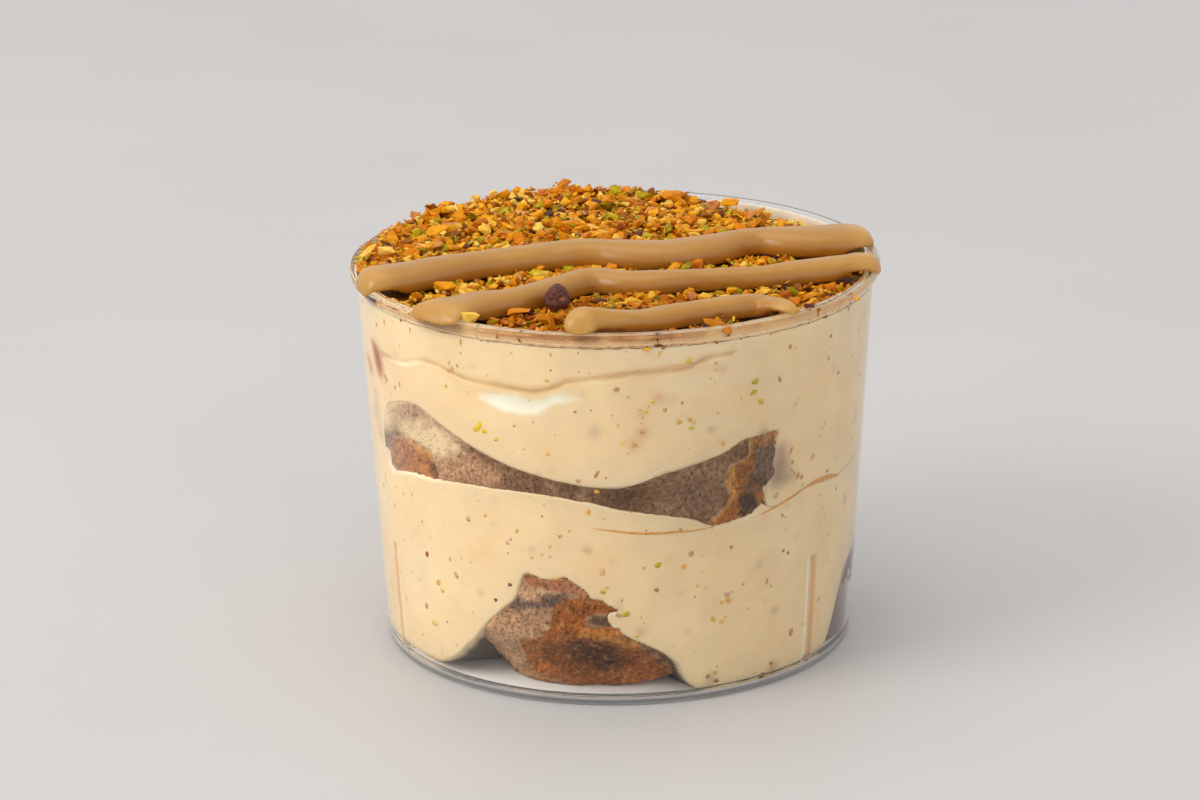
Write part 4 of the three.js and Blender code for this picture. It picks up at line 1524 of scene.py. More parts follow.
    def build(self) -> bpy.types.Object:
        """The sponge's mesh, painted.

        Returns:
            The piece.
        """
        layers = self.layers
        angles = self._columns()
        low = layers.sponge_bottom(angles) - self.overlap
        high = layers.sponge_top(angles) + self.overlap
        z = lerp(low, high, np.linspace(0, 1, self.row_count)[:, None])
        turn = np.broadcast_to(angles, z.shape)
        wall = polar(self.size.inside(z), turn, z).reshape(-1, 3)
        face = self._face(wall, turn.ravel(), z.ravel()).reshape(z.shape)
        reach = layers.sponge_reach(angles) + 0.8 * self.noise.rough(polar(30, angles, 0.0), 6, 3)
        radius = np.minimum(self.size.inside(z) + face, reach)
        under = lid(radius[0], angles, layers.sponge_bottom_centre, z[0])
        over = lid(radius[-1], angles, layers.sponge_top_centre, z[-1])
        points, faces = loft(np.concatenate([under, polar(radius, turn, z), over[::-1]]))
        piece = mesh_object("sponge_layer", points, faces)
        angle = turn_of(points)
        self._painted(piece, points, angle, points[:, 2])
        return piece


@dataclass(frozen=True)
class SpongeLook:
    """What tells one sponge piece on the floor from the others."""

    node: str
    name: str
    outline: Spots
    depth: float
    set_back: float
    arch: Arch
    zones: tuple[Zone, ...]
    colour: Rgb = (168, 128, 94)
    turn: float = 10.5
    stays: float = 60.0


@dataclass
class BaseSponge:
    """A torn piece of soaked sponge on the floor, with its browned crust."""

    size: CupSize
    noise: Noise
    look: SpongeLook
    step: float = 0.28
    contact: float = 0.1
    dip: float = 0.6
    foot_height: float = 12.0
    edge_round: float = 1.3
    back_steps: tuple[tuple[float, float], ...] = (
        (0.03, 1), (0.08, 1), (0.14, 1), (0.24, 1), (0.34, 0.98), (0.46, 0.95), (0.6, 0.9),
        (0.72, 0.8), (0.85, 0.66), (0.93, 0.5), (1, 0.3),
    )
    view_rise: float = 0.32

    def _outline(self, middle: float) -> Array:
        """The piece's outline on the flattened wall, a little torn, in the turn of an outer skin.

        Args:
            middle: The angle that becomes 0.

        Returns:
            The outline's points in millimetres.
        """
        line = smooth_line(self.look.outline, 12, closed=True)
        flat = self.size.flat(line[:, 0], line[:, 1], middle)
        gone = np.concatenate([[0], np.cumsum(np.hypot(*np.diff(flat, axis=0, append=flat[:1]).T))])
        at = np.linspace(0, gone[-1], round(gone[-1] / self.step), endpoint=False)
        closed = np.vstack([flat, flat[:1]])
        flat = np.stack([np.interp(at, gone, side) for side in closed.T], axis=-1)
        away = flat - flat.mean(axis=0)
        away /= np.linalg.norm(away, axis=1, keepdims=True)
        uneven = self.noise.rough(np.column_stack([flat, np.zeros(len(flat))]), 2.6, 4)
        flat += away * 0.45 * uneven[:, None]
        area = np.sum(flat[:, 0] * np.roll(flat[:, 1], -1) - np.roll(flat[:, 0], -1) * flat[:, 1])
        return flat[::-1] if area > 0 else flat

    def _foot(self, angle: Array, z: Array, lowest: float) -> Array:
        """How far the piece's foot stays behind the wall: more so at its ends.

        Args:
            angle: The spots' angles.
            z: Their heights.
            lowest: The outline's lowest height.

        Returns:
            The distances in millimetres.
        """
        middle = float(np.mean([turn for turn, _ in self.look.outline]))
        away = np.minimum(angle - middle, self.look.stays)
        far = self.look.set_back - 2.4 + (away / self.look.turn) ** 2
        return far * (1 - smoothstep(lowest, lowest + self.foot_height, z))

    def build(self) -> bpy.types.Object:
        """The piece's mesh, pressed against the wall and painted.

        Returns:
            The piece.
        """
        look, size = self.look, self.size
        middle = float(np.mean([angle for angle, _ in look.outline]))
        border = self._outline(middle)
        centre = border.mean(axis=0)
        lowest = border[:, 1].min()
        width = np.linalg.norm(border - centre, axis=1)
        shares = np.linspace(0.02, 1, round(np.quantile(width, 0.8) / self.step))
        flat = centre + (border - centre) * shares[:, None, None]
        across, z = flat[..., 0], np.maximum(flat[..., 1], size.floor_top + 0.02)
        angle = middle + np.degrees(across / size.inside(size.height / 2))
        wall = polar(size.inside(z), angle, z).reshape(-1, 3)
        crust = self._crust(wall, angle.ravel(), z.ravel()).reshape(z.shape)
        rough = self.noise.rough(wall, 1.7, 4).reshape(z.shape)
        pits = self.noise.pits(wall, 1.4).reshape(z.shape)
        lumps = self.noise.rough(wall + 33, 5.5, 2).reshape(z.shape)
        foot = self._foot(angle, z, lowest)
        free = smoothstep(0.0, 2.5, foot)
        inwards = foot + (0.10 + 0.3 * free) * (0.6 + rough) + 0.9 * free * (0.5 + lumps)
        inwards += (0.12 + 0.5 * free) * pits * smoothstep(-0.2, 0.5, rough) - 0.35 * crust * free
        inwards += (0.04 + 0.2 * free) * self.noise.rough(wall + 7, 0.9, 2).reshape(z.shape)
        to_edge = (1 - shares[:, None]) * width
        part = np.clip(1 - to_edge / self.edge_round, 0, 1)
        inwards += free * self.edge_round * (1 - np.sqrt(1 - part**2))
        covered = look.arch.inside(size, angle.ravel(), z.ravel()).reshape(z.shape)
        rim = smoothstep(-0.15, 0.25, covered)
        inwards = np.maximum(inwards, 0.02)
        radius = size.inside(z) + self.contact - inwards - (1 - rim) * self.dip
        front = polar(radius, angle, z)
        back = []
        for share, narrow in self.back_steps:
            tight = centre + (border - centre) * narrow
            height = np.maximum(lowest + (border[:, 1] - lowest) * narrow, size.floor_top + 0.02)
            turn = middle + np.degrees(tight[:, 0] / size.inside(size.height / 2))
            inner = radius[-1] - (size.inside(z[-1]) - size.inside(height)) - share * look.depth
            ring = polar(inner, turn, height)
            back.append(ring + 0.5 * self.noise.rough(ring, 4.0, 3)[:, None] * min(1.0, 8 * share))
        points, faces = loft(np.concatenate([front, back]))
        points[:, 2] = np.maximum(points[:, 2], size.floor_top + 0.02)
        piece = mesh_object(look.name, points, faces)
        self._painted(piece, points)
        return piece

    def _crust(self, points: Array, angle: Array, z: Array) -> Array:
        """1 where the browned crust shows.

        Args:
            points: The points.
            angle: Their angles.
            z: Their heights.

        Returns:
            The shares, from 0 to 1.
        """
        uneven = self.noise.rough(points + 40, 2.4, 3)
        crusts = [zone for zone in self.look.zones if zone.soft <= 0.5]
        return np.max([zone.cover(self.size, angle, z, uneven) for zone in crusts], axis=0)

    def _painted(self, piece: bpy.types.Object, points: Array) -> None:
        """Paints crumb and crust as they show through the wall, with painted shade and glints.

        Args:
            piece: The sponge.
            points: Its points.
        """
        turn = turn_of(points)
        middle = float(np.mean([angle for angle, _ in self.look.outline]))
        angle = (turn - middle + 180) % 360 - 180 + middle
        behind = self.size.inside(points[:, 2]) - np.hypot(points[:, 0], points[:, 1])
        z = points[:, 2] + self.view_rise * np.clip(behind, 0, 9)
        uneven = self.noise.rough(points + 40, 2.4, 3)
        paint = Paint.even(len(points), self.look.colour)
        paint.lay((190, 152, 118), self.noise.patches(points, 5.0, 0.0, 0.7))
        paint.lay((128, 96, 72), 0.8 * self.noise.patches(points + 21, 2.6, 0.1, 0.7))
        for zone in self.look.zones:
            paint.lay(zone.colour, zone.cover(self.size, angle, z, uneven))
        crust = self._crust(points, angle, z)
        grain = self.noise.rough(points + 5, 1.0, 3)
        paint.lay((212, 150, 82), 0.45 * crust * smoothstep(0.1, 0.6, grain))
        paint.lay((80, 46, 26), 0.6 * crust * self.noise.patches(points + 70, 1.8, 0.15, 0.7))
        paint.lay((96, 72, 56), 0.5 * (1 - crust) * self.noise.patches(points + 90, 1.4, 0.2, 0.7))
        # Pale crumb grains with painted glints, where the piece stands back from the wall.
        grains_and_glints = self.noise.patches(points + 61, 0.55, 0.35, 0.6, 2)
        paint.lay((226, 180, 132), 0.4 * grains_and_glints * smoothstep(0.2, 1.2, behind))
        paint.store(piece)


SPONGE_LOOKS = (
    SpongeLook(
        "sponge_base_front",
        "sponge_piece_front",
        (
            (-38.2, 8), (-36.6, 11.4), (-32, 15.8), (-27.4, 19), (-25, 21.5), (-22.5, 24),
            (-17, 23.6), (-12, 24), (-7, 22), (-4.5, 20.4), (1.8, 18.2), (2, 14.6), (4.5, 12.6),
            (11, 10.4), (17.2, 8.4), (20.6, 6.2), (19.6, 4.6), (14, 3), (8, 1.8), (0, 1.3),
            (-10, 1.3), (-20, 1.3), (-30, 1.3), (-37.4, 1.5), (-41, 2.4), (-42, 3.8), (-40.5, 5.8),
        ),
        24.0,
        6.5,
        ARCHES[0],
        (
            Zone((200, 156, 118), ((-40, 7), (-36, 11.4), (-30, 15), (-24.3, 17.2), (-17, 17),
                (-15.5, 12), (-22, 9), (-32, 4.5)), 0.9, 2.4, 0.8),
            Zone((108, 90, 82), ((-28.4, 16.2), (-24, 18.4), (-19.9, 17.9), (-18.5, 19.4),
                (-12.6, 19.4), (-13, 17.8), (-19, 17), (-25, 16.4)), 0.85, 1.0, 0.9),
            Zone((216, 176, 136), ((-24.2, 18.6), (-22.6, 20.9), (-17, 20.6), (-13.4, 20.2),
                (-18.9, 19.3), (-20.8, 18.2)), 0.8, 0.9, 0.4),
            Zone((182, 122, 84), ((-22.6, 20.9), (-22, 24), (-8, 24.5), (-5.5, 19.4), (-9, 19.4),
                (-12.6, 20.2), (-17.5, 20.4)), 0.95, 0.8, 0.5),
            Zone((166, 96, 40), ((-15.8, 15.8), (-13.9, 18.2), (-10.3, 19.3), (-6.9, 19.3),
                (-2, 18.6), (3, 17), (-2.4, 16.5), (-5.7, 16.5), (-7.9, 15.6), (-7.6, 14.2),
                (3, 14.4), (3.5, 12), (8, 8.6), (14, 6), (12, 4.4), (2, 2.8), (-8, 2.6), (-16, 2.9),
                (-23.5, 3.9), (-25.6, 6.4), (-25.4, 9.6), (-24.1, 10.7), (-19.4, 11.7),
                (-16, 13.4)), 1.0, 0.45, 0.9),
            Zone((134, 102, 84), ((1.6, 12.6), (8.6, 10.8), (14, 9), (20, 6), (14, 5.4),
                (11.6, 6.9), (7.6, 8.7), (3.6, 10.7)), 0.75, 1.2, 1.2),
            # These two dark zones are painted shade in the recess low in the piece's middle.
            Zone((112, 62, 26), ((-20.1, 10), (-15.3, 11.5), (-8.2, 12.5), (-1.3, 11.1), (3.1, 8.4),
                (2.6, 5.8), (-4.4, 5.1), (-12.5, 5.4), (-19.2, 6.3)), 0.7, 2.8, 1.8),
            Zone((72, 34, 12), ((-12.3, 10.9), (-6.3, 11.4), (-1.4, 9.9), (-0.4, 7.8), (-4.4, 6.3),
                (-8.4, 7.4), (-12.3, 8.6)), 0.85, 2.6, 1.6),
            Zone((206, 138, 66), ((-9, 13.6), (-2, 13.9), (1.5, 12.6), (6, 10.6), (3, 9.6),
                (-3, 11.6), (-9, 12.2)), 0.6, 1.4, 1.0),
            Zone((176, 128, 88), ((-37, 3), (-24.5, 5), (-16, 3.6), (-4, 3.2), (8, 3.4), (14, 4.6),
                (10, 2.4), (-6, 1.6), (-24, 1.6)), 0.75, 1.4, 1.2),
            # Painted shade in the gap beside the flake.
            Zone((96, 76, 62), ((-7.4, 15.4), (-4, 16.1), (-2.6, 15.4), (-2.2, 14.5), (-7.2, 14.5)),
                0.9, 0.8, 0.8),
        ),
        colour=(162, 122, 88),
        turn=13.0,
        stays=9.0,
    ),
    SpongeLook(
        "sponge_base_right",
        "sponge_piece_right",
        (
            (63, 3), (65.6, 7.4), (70, 12.4), (76, 16.2), (84, 18), (95, 18.6), (104, 15.6),
            (110, 9), (111, 3.5), (106, 1.5), (92, 1.3), (76, 1.3), (66, 1.5),
        ),
        19.0,
        2.6,
        ARCHES[1],
        (
            Zone((104, 68, 42), ((62, 2), (66, 9), (72, 14), (80, 15), (80, 2)), 0.85, 2.4),
            Zone((160, 92, 38), ((80, 17.4), (98, 18), (108, 12), (111, 4), (100, 2), (92, 8)), 1.0,
                0.5, 0.9),
            Zone((98, 60, 34), ((78, 9), (88, 11), (95, 6), (88, 2.6), (78, 3.4)), 0.85, 2.0, 0.9),
        ),
        colour=(134, 94, 62),
        turn=20.0,
    ),
    SpongeLook(
        "sponge_base_back",
        "sponge_piece_back",
        (
            (169, 7), (174, 14), (181, 18.4), (189, 19.8), (196, 23), (205, 23.6), (213, 19),
            (219, 14.6), (225, 8.5), (224, 3), (215, 1.4), (198, 1.3), (182, 1.3), (172, 2.6),
        ),
        22.0,
        6.5,
        ARCHES[2],
        (
            Zone((190, 150, 114), ((170, 5), (176, 15), (188, 18), (192, 10), (184, 3)), 0.85, 2.2),
            Zone((158, 90, 36), ((192, 20), (205, 23.4), (214, 18), (223, 9), (214, 3), (200, 4),
                (196, 12)), 1.0, 0.5, 0.9),
            Zone((100, 58, 32), ((198, 11), (207, 14), (213, 8), (205, 4)), 0.85, 2.0, 0.9),
        ),
    ),
)


# The topping


@dataclass(frozen=True)
class PipedRoute:
    """A piped line's middle as x, y, width and height, and the height that it rests at."""

    name: str
    rest: float
    points: tuple[tuple[float, float, float, float], ...]
    droop: float = 0.0

    def centre(self, steps: int = 10) -> Array:
        """The smooth middle line, with widths and heights."""
        return smooth_line(self.points, steps)


PIPED_ROUTES = (
    PipedRoute("piped_line_back", 65.6, ((-46.8, -18.8, 4.2, 1.3), (-44.4, -16.8, 6.8, 2.2),
        (-40.4, -14.8, 8.8, 3), (-35.4, -12.6, 9, 3.1), (-29, -8.9, 7.6, 3.2),
        (-23, -5.6, 6.4, 3.1), (-16.6, -3.1, 6.6, 3.1), (-10.2, -0.5, 7.6, 3.2),
        (-3.7, 0.3, 6.8, 3.3), (2.7, -0.9, 8.2, 3.3), (9.2, -0.9, 8.6, 3.2), (15.7, 1.7, 8.2, 3.2),
        (21, 5.4, 6.2, 3.1), (25, 6.8, 6.4, 3.1), (30, 6.2, 9, 3.2), (35.4, 6.6, 10.4, 3.1),
        (40, 8.2, 10.8, 2.8), (44, 10.4, 9.6, 2), (46.8, 12.2, 6.5, 1.2)), droop=1.0),
    PipedRoute("piped_line_middle", 65.3, ((-33.6, -37.6, 9, 0.7), (-30.8, -34.2, 11, 1.2),
        (-27.8, -31.2, 10.4, 2), (-22.8, -28.2, 8.2, 2.7), (-16.6, -25.4, 6, 2.7),
        (-9.9, -19.3, 5.6, 2.7), (-4.1, -14.3, 5.8, 2.7), (1.7, -16.1, 6, 2.6),
        (7.5, -15.8, 5.8, 2.6), (13.3, -14.6, 4.8, 2.4), (19.2, -14.2, 4.6, 2.4),
        (25, -13.3, 5, 2.4), (31, -10.9, 6.1, 2.5), (37, -8.6, 6.4, 2.5), (41.5, -7.8, 6.2, 2.3),
        (45.4, -8.6, 5.6, 1.8), (48, -9.6, 4.2, 1.2)), droop=1.0),
    PipedRoute("piped_line_front", 65.0, ((-5.6, -45.8, 3.8, 0.8), (-5.8, -44, 5, 2),
        (-5.8, -41.9, 5.6, 3.2), (-4.9, -40, 5.8, 3.6), (-2.8, -39, 5.8, 3.4),
        (0.6, -38.2, 5.4, 2.8), (4.2, -36.8, 5.3, 2.4), (8.7, -34.2, 5.6, 2.4),
        (14.3, -31.7, 5, 2.4), (19.9, -29.4, 5, 2.4), (22.9, -28.4, 5.2, 2.2),
        (25.6, -30.2, 4.8, 1.9), (28.2, -33.2, 3.4, 1.3), (30.2, -35.9, 1.8, 0.8)), droop=0.7),
)


@dataclass
class PipedLine:
    """A thick line of coffee cream, piped over the crumble from rim to rim."""

    size: CupSize
    route: PipedRoute
    noise: Noise
    step: float = 0.5
    round_points: int = 28
    under_points: int = 7
    fullness: float = 2.4
    sink: float = 1.0
    rim_rest: float = 65.72
    lift_from: float = 38.0
    lift_to: float = 41.5
    reach: float = 45.7
    bend_from: float = 43.2
    end_taper: float = 0.97
    skin_step: float = 0.36
    soften: int = 12

    def _section(self) -> Array:
        """The section, from one foot over the top to the other and back, as shares of its size.

        Returns:
            Its points, as the share to the side and the share upwards.
        """
        turn = np.linspace(0, math.pi, self.round_points)
        side, up = np.cos(turn), np.sin(turn)
        power = 2 / self.fullness
        top = np.stack([np.sign(side) * np.abs(side) ** power, np.abs(up) ** power], axis=-1)
        under = np.linspace(-0.94, 0.94, self.under_points)
        return np.vstack([top, np.stack([under, np.full(len(under), -1.0)], axis=-1)])

    def build(self) -> bpy.types.Object:
        """The line's mesh, painted.

        Returns:
            The piece.
        """
        line = smooth_line(self.route.points, 40)
        gone = np.concatenate([[0], np.cumsum(np.hypot(*np.diff(line[:, :2], axis=0).T))])
        count = round(gone[-1] / self.step)
        at = np.linspace(0, gone[-1], count + 1)
        ends = 0.5 * self.step * np.array([0.15, 0.4, 0.8, 1.3])
        at = np.unique(np.concatenate([at, ends, gone[-1] - ends]))
        x, y, width, height = (np.interp(at, gone, column) for column in line.T)
        along = np.stack([np.gradient(x, at), np.gradient(y, at)], axis=-1)
        along /= np.linalg.norm(along, axis=1, keepdims=True)
        across = np.stack([-along[:, 1], along[:, 0]], axis=-1)
        middle = np.stack([x, y, np.zeros(len(x))], axis=-1)
        width = width * (1 + 0.035 * self.noise.rough(middle, 5.0, 2))
        height = height * (1 + 0.05 * self.noise.rough(middle + 50, 6.0, 2))
        near_end = np.clip(1 - np.minimum(at, gone[-1] - at) / (width / 2), 0, 1)
        full = np.sqrt(np.maximum(1 - self.end_taper * near_end**2, 0.02))
        side, up = self._section().T
        sideways = side * full[:, None] * width[:, None] / 2
        flat = middle[:, None, :2] + across[:, None] * sideways[..., None]
        away = np.linalg.norm(flat, axis=-1)
        beyond = np.maximum(away - self.bend_from, 0)
        room = self.reach - self.bend_from
        kept = np.minimum(away, self.bend_from) + room * np.tanh(beyond / room / 1.6)
        flat *= (kept / away)[..., None]
        lift = smoothstep(self.lift_from, self.lift_to, away)
        foot = lerp(self.route.rest, self.rim_rest, lift)
        over = np.maximum(up, 0) * full[:, None] * height[:, None]
        below = np.where(up < 0, self.sink * (1 - lift), 0.0)
        hang = smoothstep(self.bend_from + 0.6, self.bend_from + 5, away)
        z = foot + over - below - self.route.droop * hang
        rings = np.concatenate([flat, z[..., None]], axis=-1)
        rough = mesh_object("rough_line", *loft(rings))
        piece = even_skin(self.route.name, rough, self.skin_step, self.soften)
        bpy.data.objects.remove(rough)
        return self._painted(piece)

    def _painted(self, piece: bpy.types.Object) -> bpy.types.Object:
        """Paints the line a little unevenly with painted shade low down; pits it with burst
        bubbles.

        Args:
            piece: The line.

        Returns:
            The same line.
        """
        points, normals = points_of(piece), normals_of(piece)
        paint = Paint.even(len(points), (172, 122, 42))
        paint.lay((178, 129, 49), self.noise.patches(points, 9.0, 0.0, 0.7, 2))
        paint.lay((169, 117, 40), 0.6 * self.noise.patches(points + 30, 6.0, 0.1, 0.8, 2))
        # Painted shade on the lower sides; the paler ends keep little of it.
        low = smoothstep(self.route.rest + 2.4, self.route.rest, points[:, 2])
        end = smoothstep(39.5, 43.0, np.hypot(points[:, 0], points[:, 1]))
        paint.lay((162, 99, 24), 0.7 * low * (1 - 0.8 * end))
        paint.lay((194, 144, 64), 0.6 * end)
        paint.store(piece)
        relief = 0.06 * self.noise.rough(points, 3.0, 2)
        move_points(piece, points + normals * relief[:, None])
        return piece


@dataclass(frozen=True)
class NutKind:
    """One kind of chopped nut: its finish and its share among small and large pieces."""

    finish: NutMeat
    share: float
    large_share: float


NUT_KINDS = (
    NutKind(NutMeat("nuts_golden", (230, 160, 20), (188, 112, 8)), 0.38, 0.42),
    NutKind(NutMeat("nuts_orange", (216, 132, 16), (168, 86, 8)), 0.2, 0.2),
    NutKind(NutMeat("nuts_pale", (240, 202, 96), (220, 164, 44)), 0.15, 0.18),
    NutKind(NutMeat("nuts_green", (186, 164, 18), (134, 114, 8)), 0.11, 0.06),
    NutKind(NutMeat("nuts_skin", (112, 62, 42), (64, 36, 28)), 0.03, 0.02),
    NutKind(NutMeat("nuts_rosy", (216, 150, 88), (178, 108, 50)), 0.03, 0.05),
    NutKind(NutMeat("nuts_toasted", (156, 92, 18), (108, 60, 10)), 0.1, 0.07),
)


WORN_FROM = 16


@dataclass(frozen=True)
class PieceSize:
    """How many broken pieces of one size there are, and how each is shaped."""

    count: int
    smallest: float
    largest: float
    corners: int
    tries: int = 3
    sink: float = 0.12
    shapes: int = 24


PIECE_SIZES = (
    PieceSize(1500, 1.3, 2.5, 14, 3, 0.35),
    PieceSize(4200, 0.7, 1.6, 9, 3, 0.2),
    PieceSize(250, 2.4, 4.0, 18, 3, 0.9),
    PieceSize(1200, 1.3, 2.7, 14, 2, 0.45),
    PieceSize(2200, 0.5, 1.2, 8, 2, 0.12),
)


class HeightMap:
    """The crumble's upper side while it builds up, in square cells."""

    def __init__(self, reach: float, cell: float, ground: Callable[[Array, Array], Array]) -> None:
        """Starts with the ground under the crumble.

        Args:
            reach: How far from the axis it goes.
            cell: A cell's width.
            ground: Gives the height at points.
        """
        self._cell = cell
        self._middle = math.ceil(reach / cell) + 6
        axis = (np.arange(2 * self._middle + 1) - self._middle) * cell
        self.height = ground(*np.meshgrid(axis, axis, indexing="ij"))

    def cells(self, x: Array, y: Array) -> tuple[Array, Array]:
        """The cells that hold some points."""
        steps = (np.rint(np.asarray(side) / self._cell).astype(int) for side in (x, y))
        return tuple(step + self._middle for step in steps)

    def at(self, x: Array, y: Array) -> Array:
        """The height at some points."""
        return self.height[self.cells(x, y)]

    def lay(self, x: float, y: float, shape: Array, sink: float) -> float:
        """Lets a piece settle, and adds its upper side.

        Args:
            x: Where its middle goes.
            y: Where its middle goes.
            shape: Its points round its middle.
            sink: How deep it settles between the others.

        Returns:
            The height of its middle.
        """
        under = shape[shape[:, 2] <= np.median(shape[:, 2])]
        rest = np.quantile(self.at(x + under[:, 0], y + under[:, 1]) - under[:, 2], 0.6) - sink
        reach = 0.5 * (np.ptp(shape[:, 0]) + np.ptp(shape[:, 1])) / 2
        span = math.ceil(reach / self._cell)
        i, j = (int(side) for side in self.cells(x, y))
        window = self.height[i - span : i + span + 1, j - span : j + span + 1]
        across = np.arange(-span, span + 1) * self._cell / max(reach, 1e-6)
        dome = 1 - across[:, None] ** 2 - across[None] ** 2
        top = rest + shape[:, 2].max() * (0.3 + 0.6 * np.sqrt(np.maximum(dome, 0)))
        window[dome > 0] = np.maximum(window, top)[dome > 0]
        return rest


def broken_shape(rng: np.random.Generator, corners: int) -> tuple[Array, Bodies]:
    """A broken piece of nut, about 1 across, with flat breaks.

    Args:
        rng: The random draw.
        corners: How many corners it has at most; large pieces get worn edges and a rough skin.

    Returns:
        Its points and triangles.
    """
    toward = rng.normal(size=(corners, 3))
    toward /= np.linalg.norm(toward, axis=1, keepdims=True)
    toward = np.sign(toward) * np.abs(toward) ** 0.75
    stretch = np.array([rng.uniform(1.1, 1.6), rng.uniform(0.75, 1.05), rng.uniform(0.4, 0.7)])
    form = bmesh.new()
    for corner in toward * rng.uniform(0.4, 0.5, (corners, 1)) * stretch:
        form.verts.new(corner)
    hull = bmesh.ops.convex_hull(form, input=form.verts)
    unused = hull["geom_interior"] + hull["geom_unused"]
    spare = {part for part in unused if isinstance(part, bmesh.types.BMVert)}
    bmesh.ops.delete(form, geom=list(spare), context="VERTS")
    if corners > WORN_FROM:
        bmesh.ops.bevel(
            form, geom=form.edges[:], offset=0.035, segments=1, affect="EDGES", clamp_overlap=True
        )
        bmesh.ops.triangulate(form, faces=form.faces)
        long_edges = [edge for edge in form.edges if edge.calc_length() > 0.16]
        bmesh.ops.subdivide_edges(form, edges=long_edges, cuts=1)
    bmesh.ops.triangulate(form, faces=form.faces)
    points, faces = points_and_faces(form)
    points *= np.minimum(1, 0.8 / np.maximum(np.linalg.norm(points, axis=1, keepdims=True), 0.01))
    points -= (points.min(axis=0) + points.max(axis=0)) / 2
    if corners > WORN_FROM:
        points *= 1 + 0.03 * rng.normal(size=(len(points), 1))
    return points, faces


STRAY_PIECES = (
    (3, -43.4, 0.9, 66.0, 1.7), (0, 39.7, -20.3, 63.9, 1.2), (4, 31.4, -30.9, 66.0, 1.6),
    (0, 29.2, -33.0, 66.0, 1.3), (2, -24.4, -34.4, 66.0, 3.2), (1, -15.8, -31.6, 65.8, 3.4),
    (0, -28.2, -17.4, 66.2, 3.2), (2, -39.0, 3.0, 66.6, 3.0), (0, -30.6, 15.8, 66.4, 3.6),
    (1, -7.2, 18.6, 66.5, 3.6), (1, 10.4, 36.4, 66.4, 4.0), (3, 5.8, 38.4, 66.2, 3.0),
    (0, 20.6, 32.4, 66.3, 3.2),
)


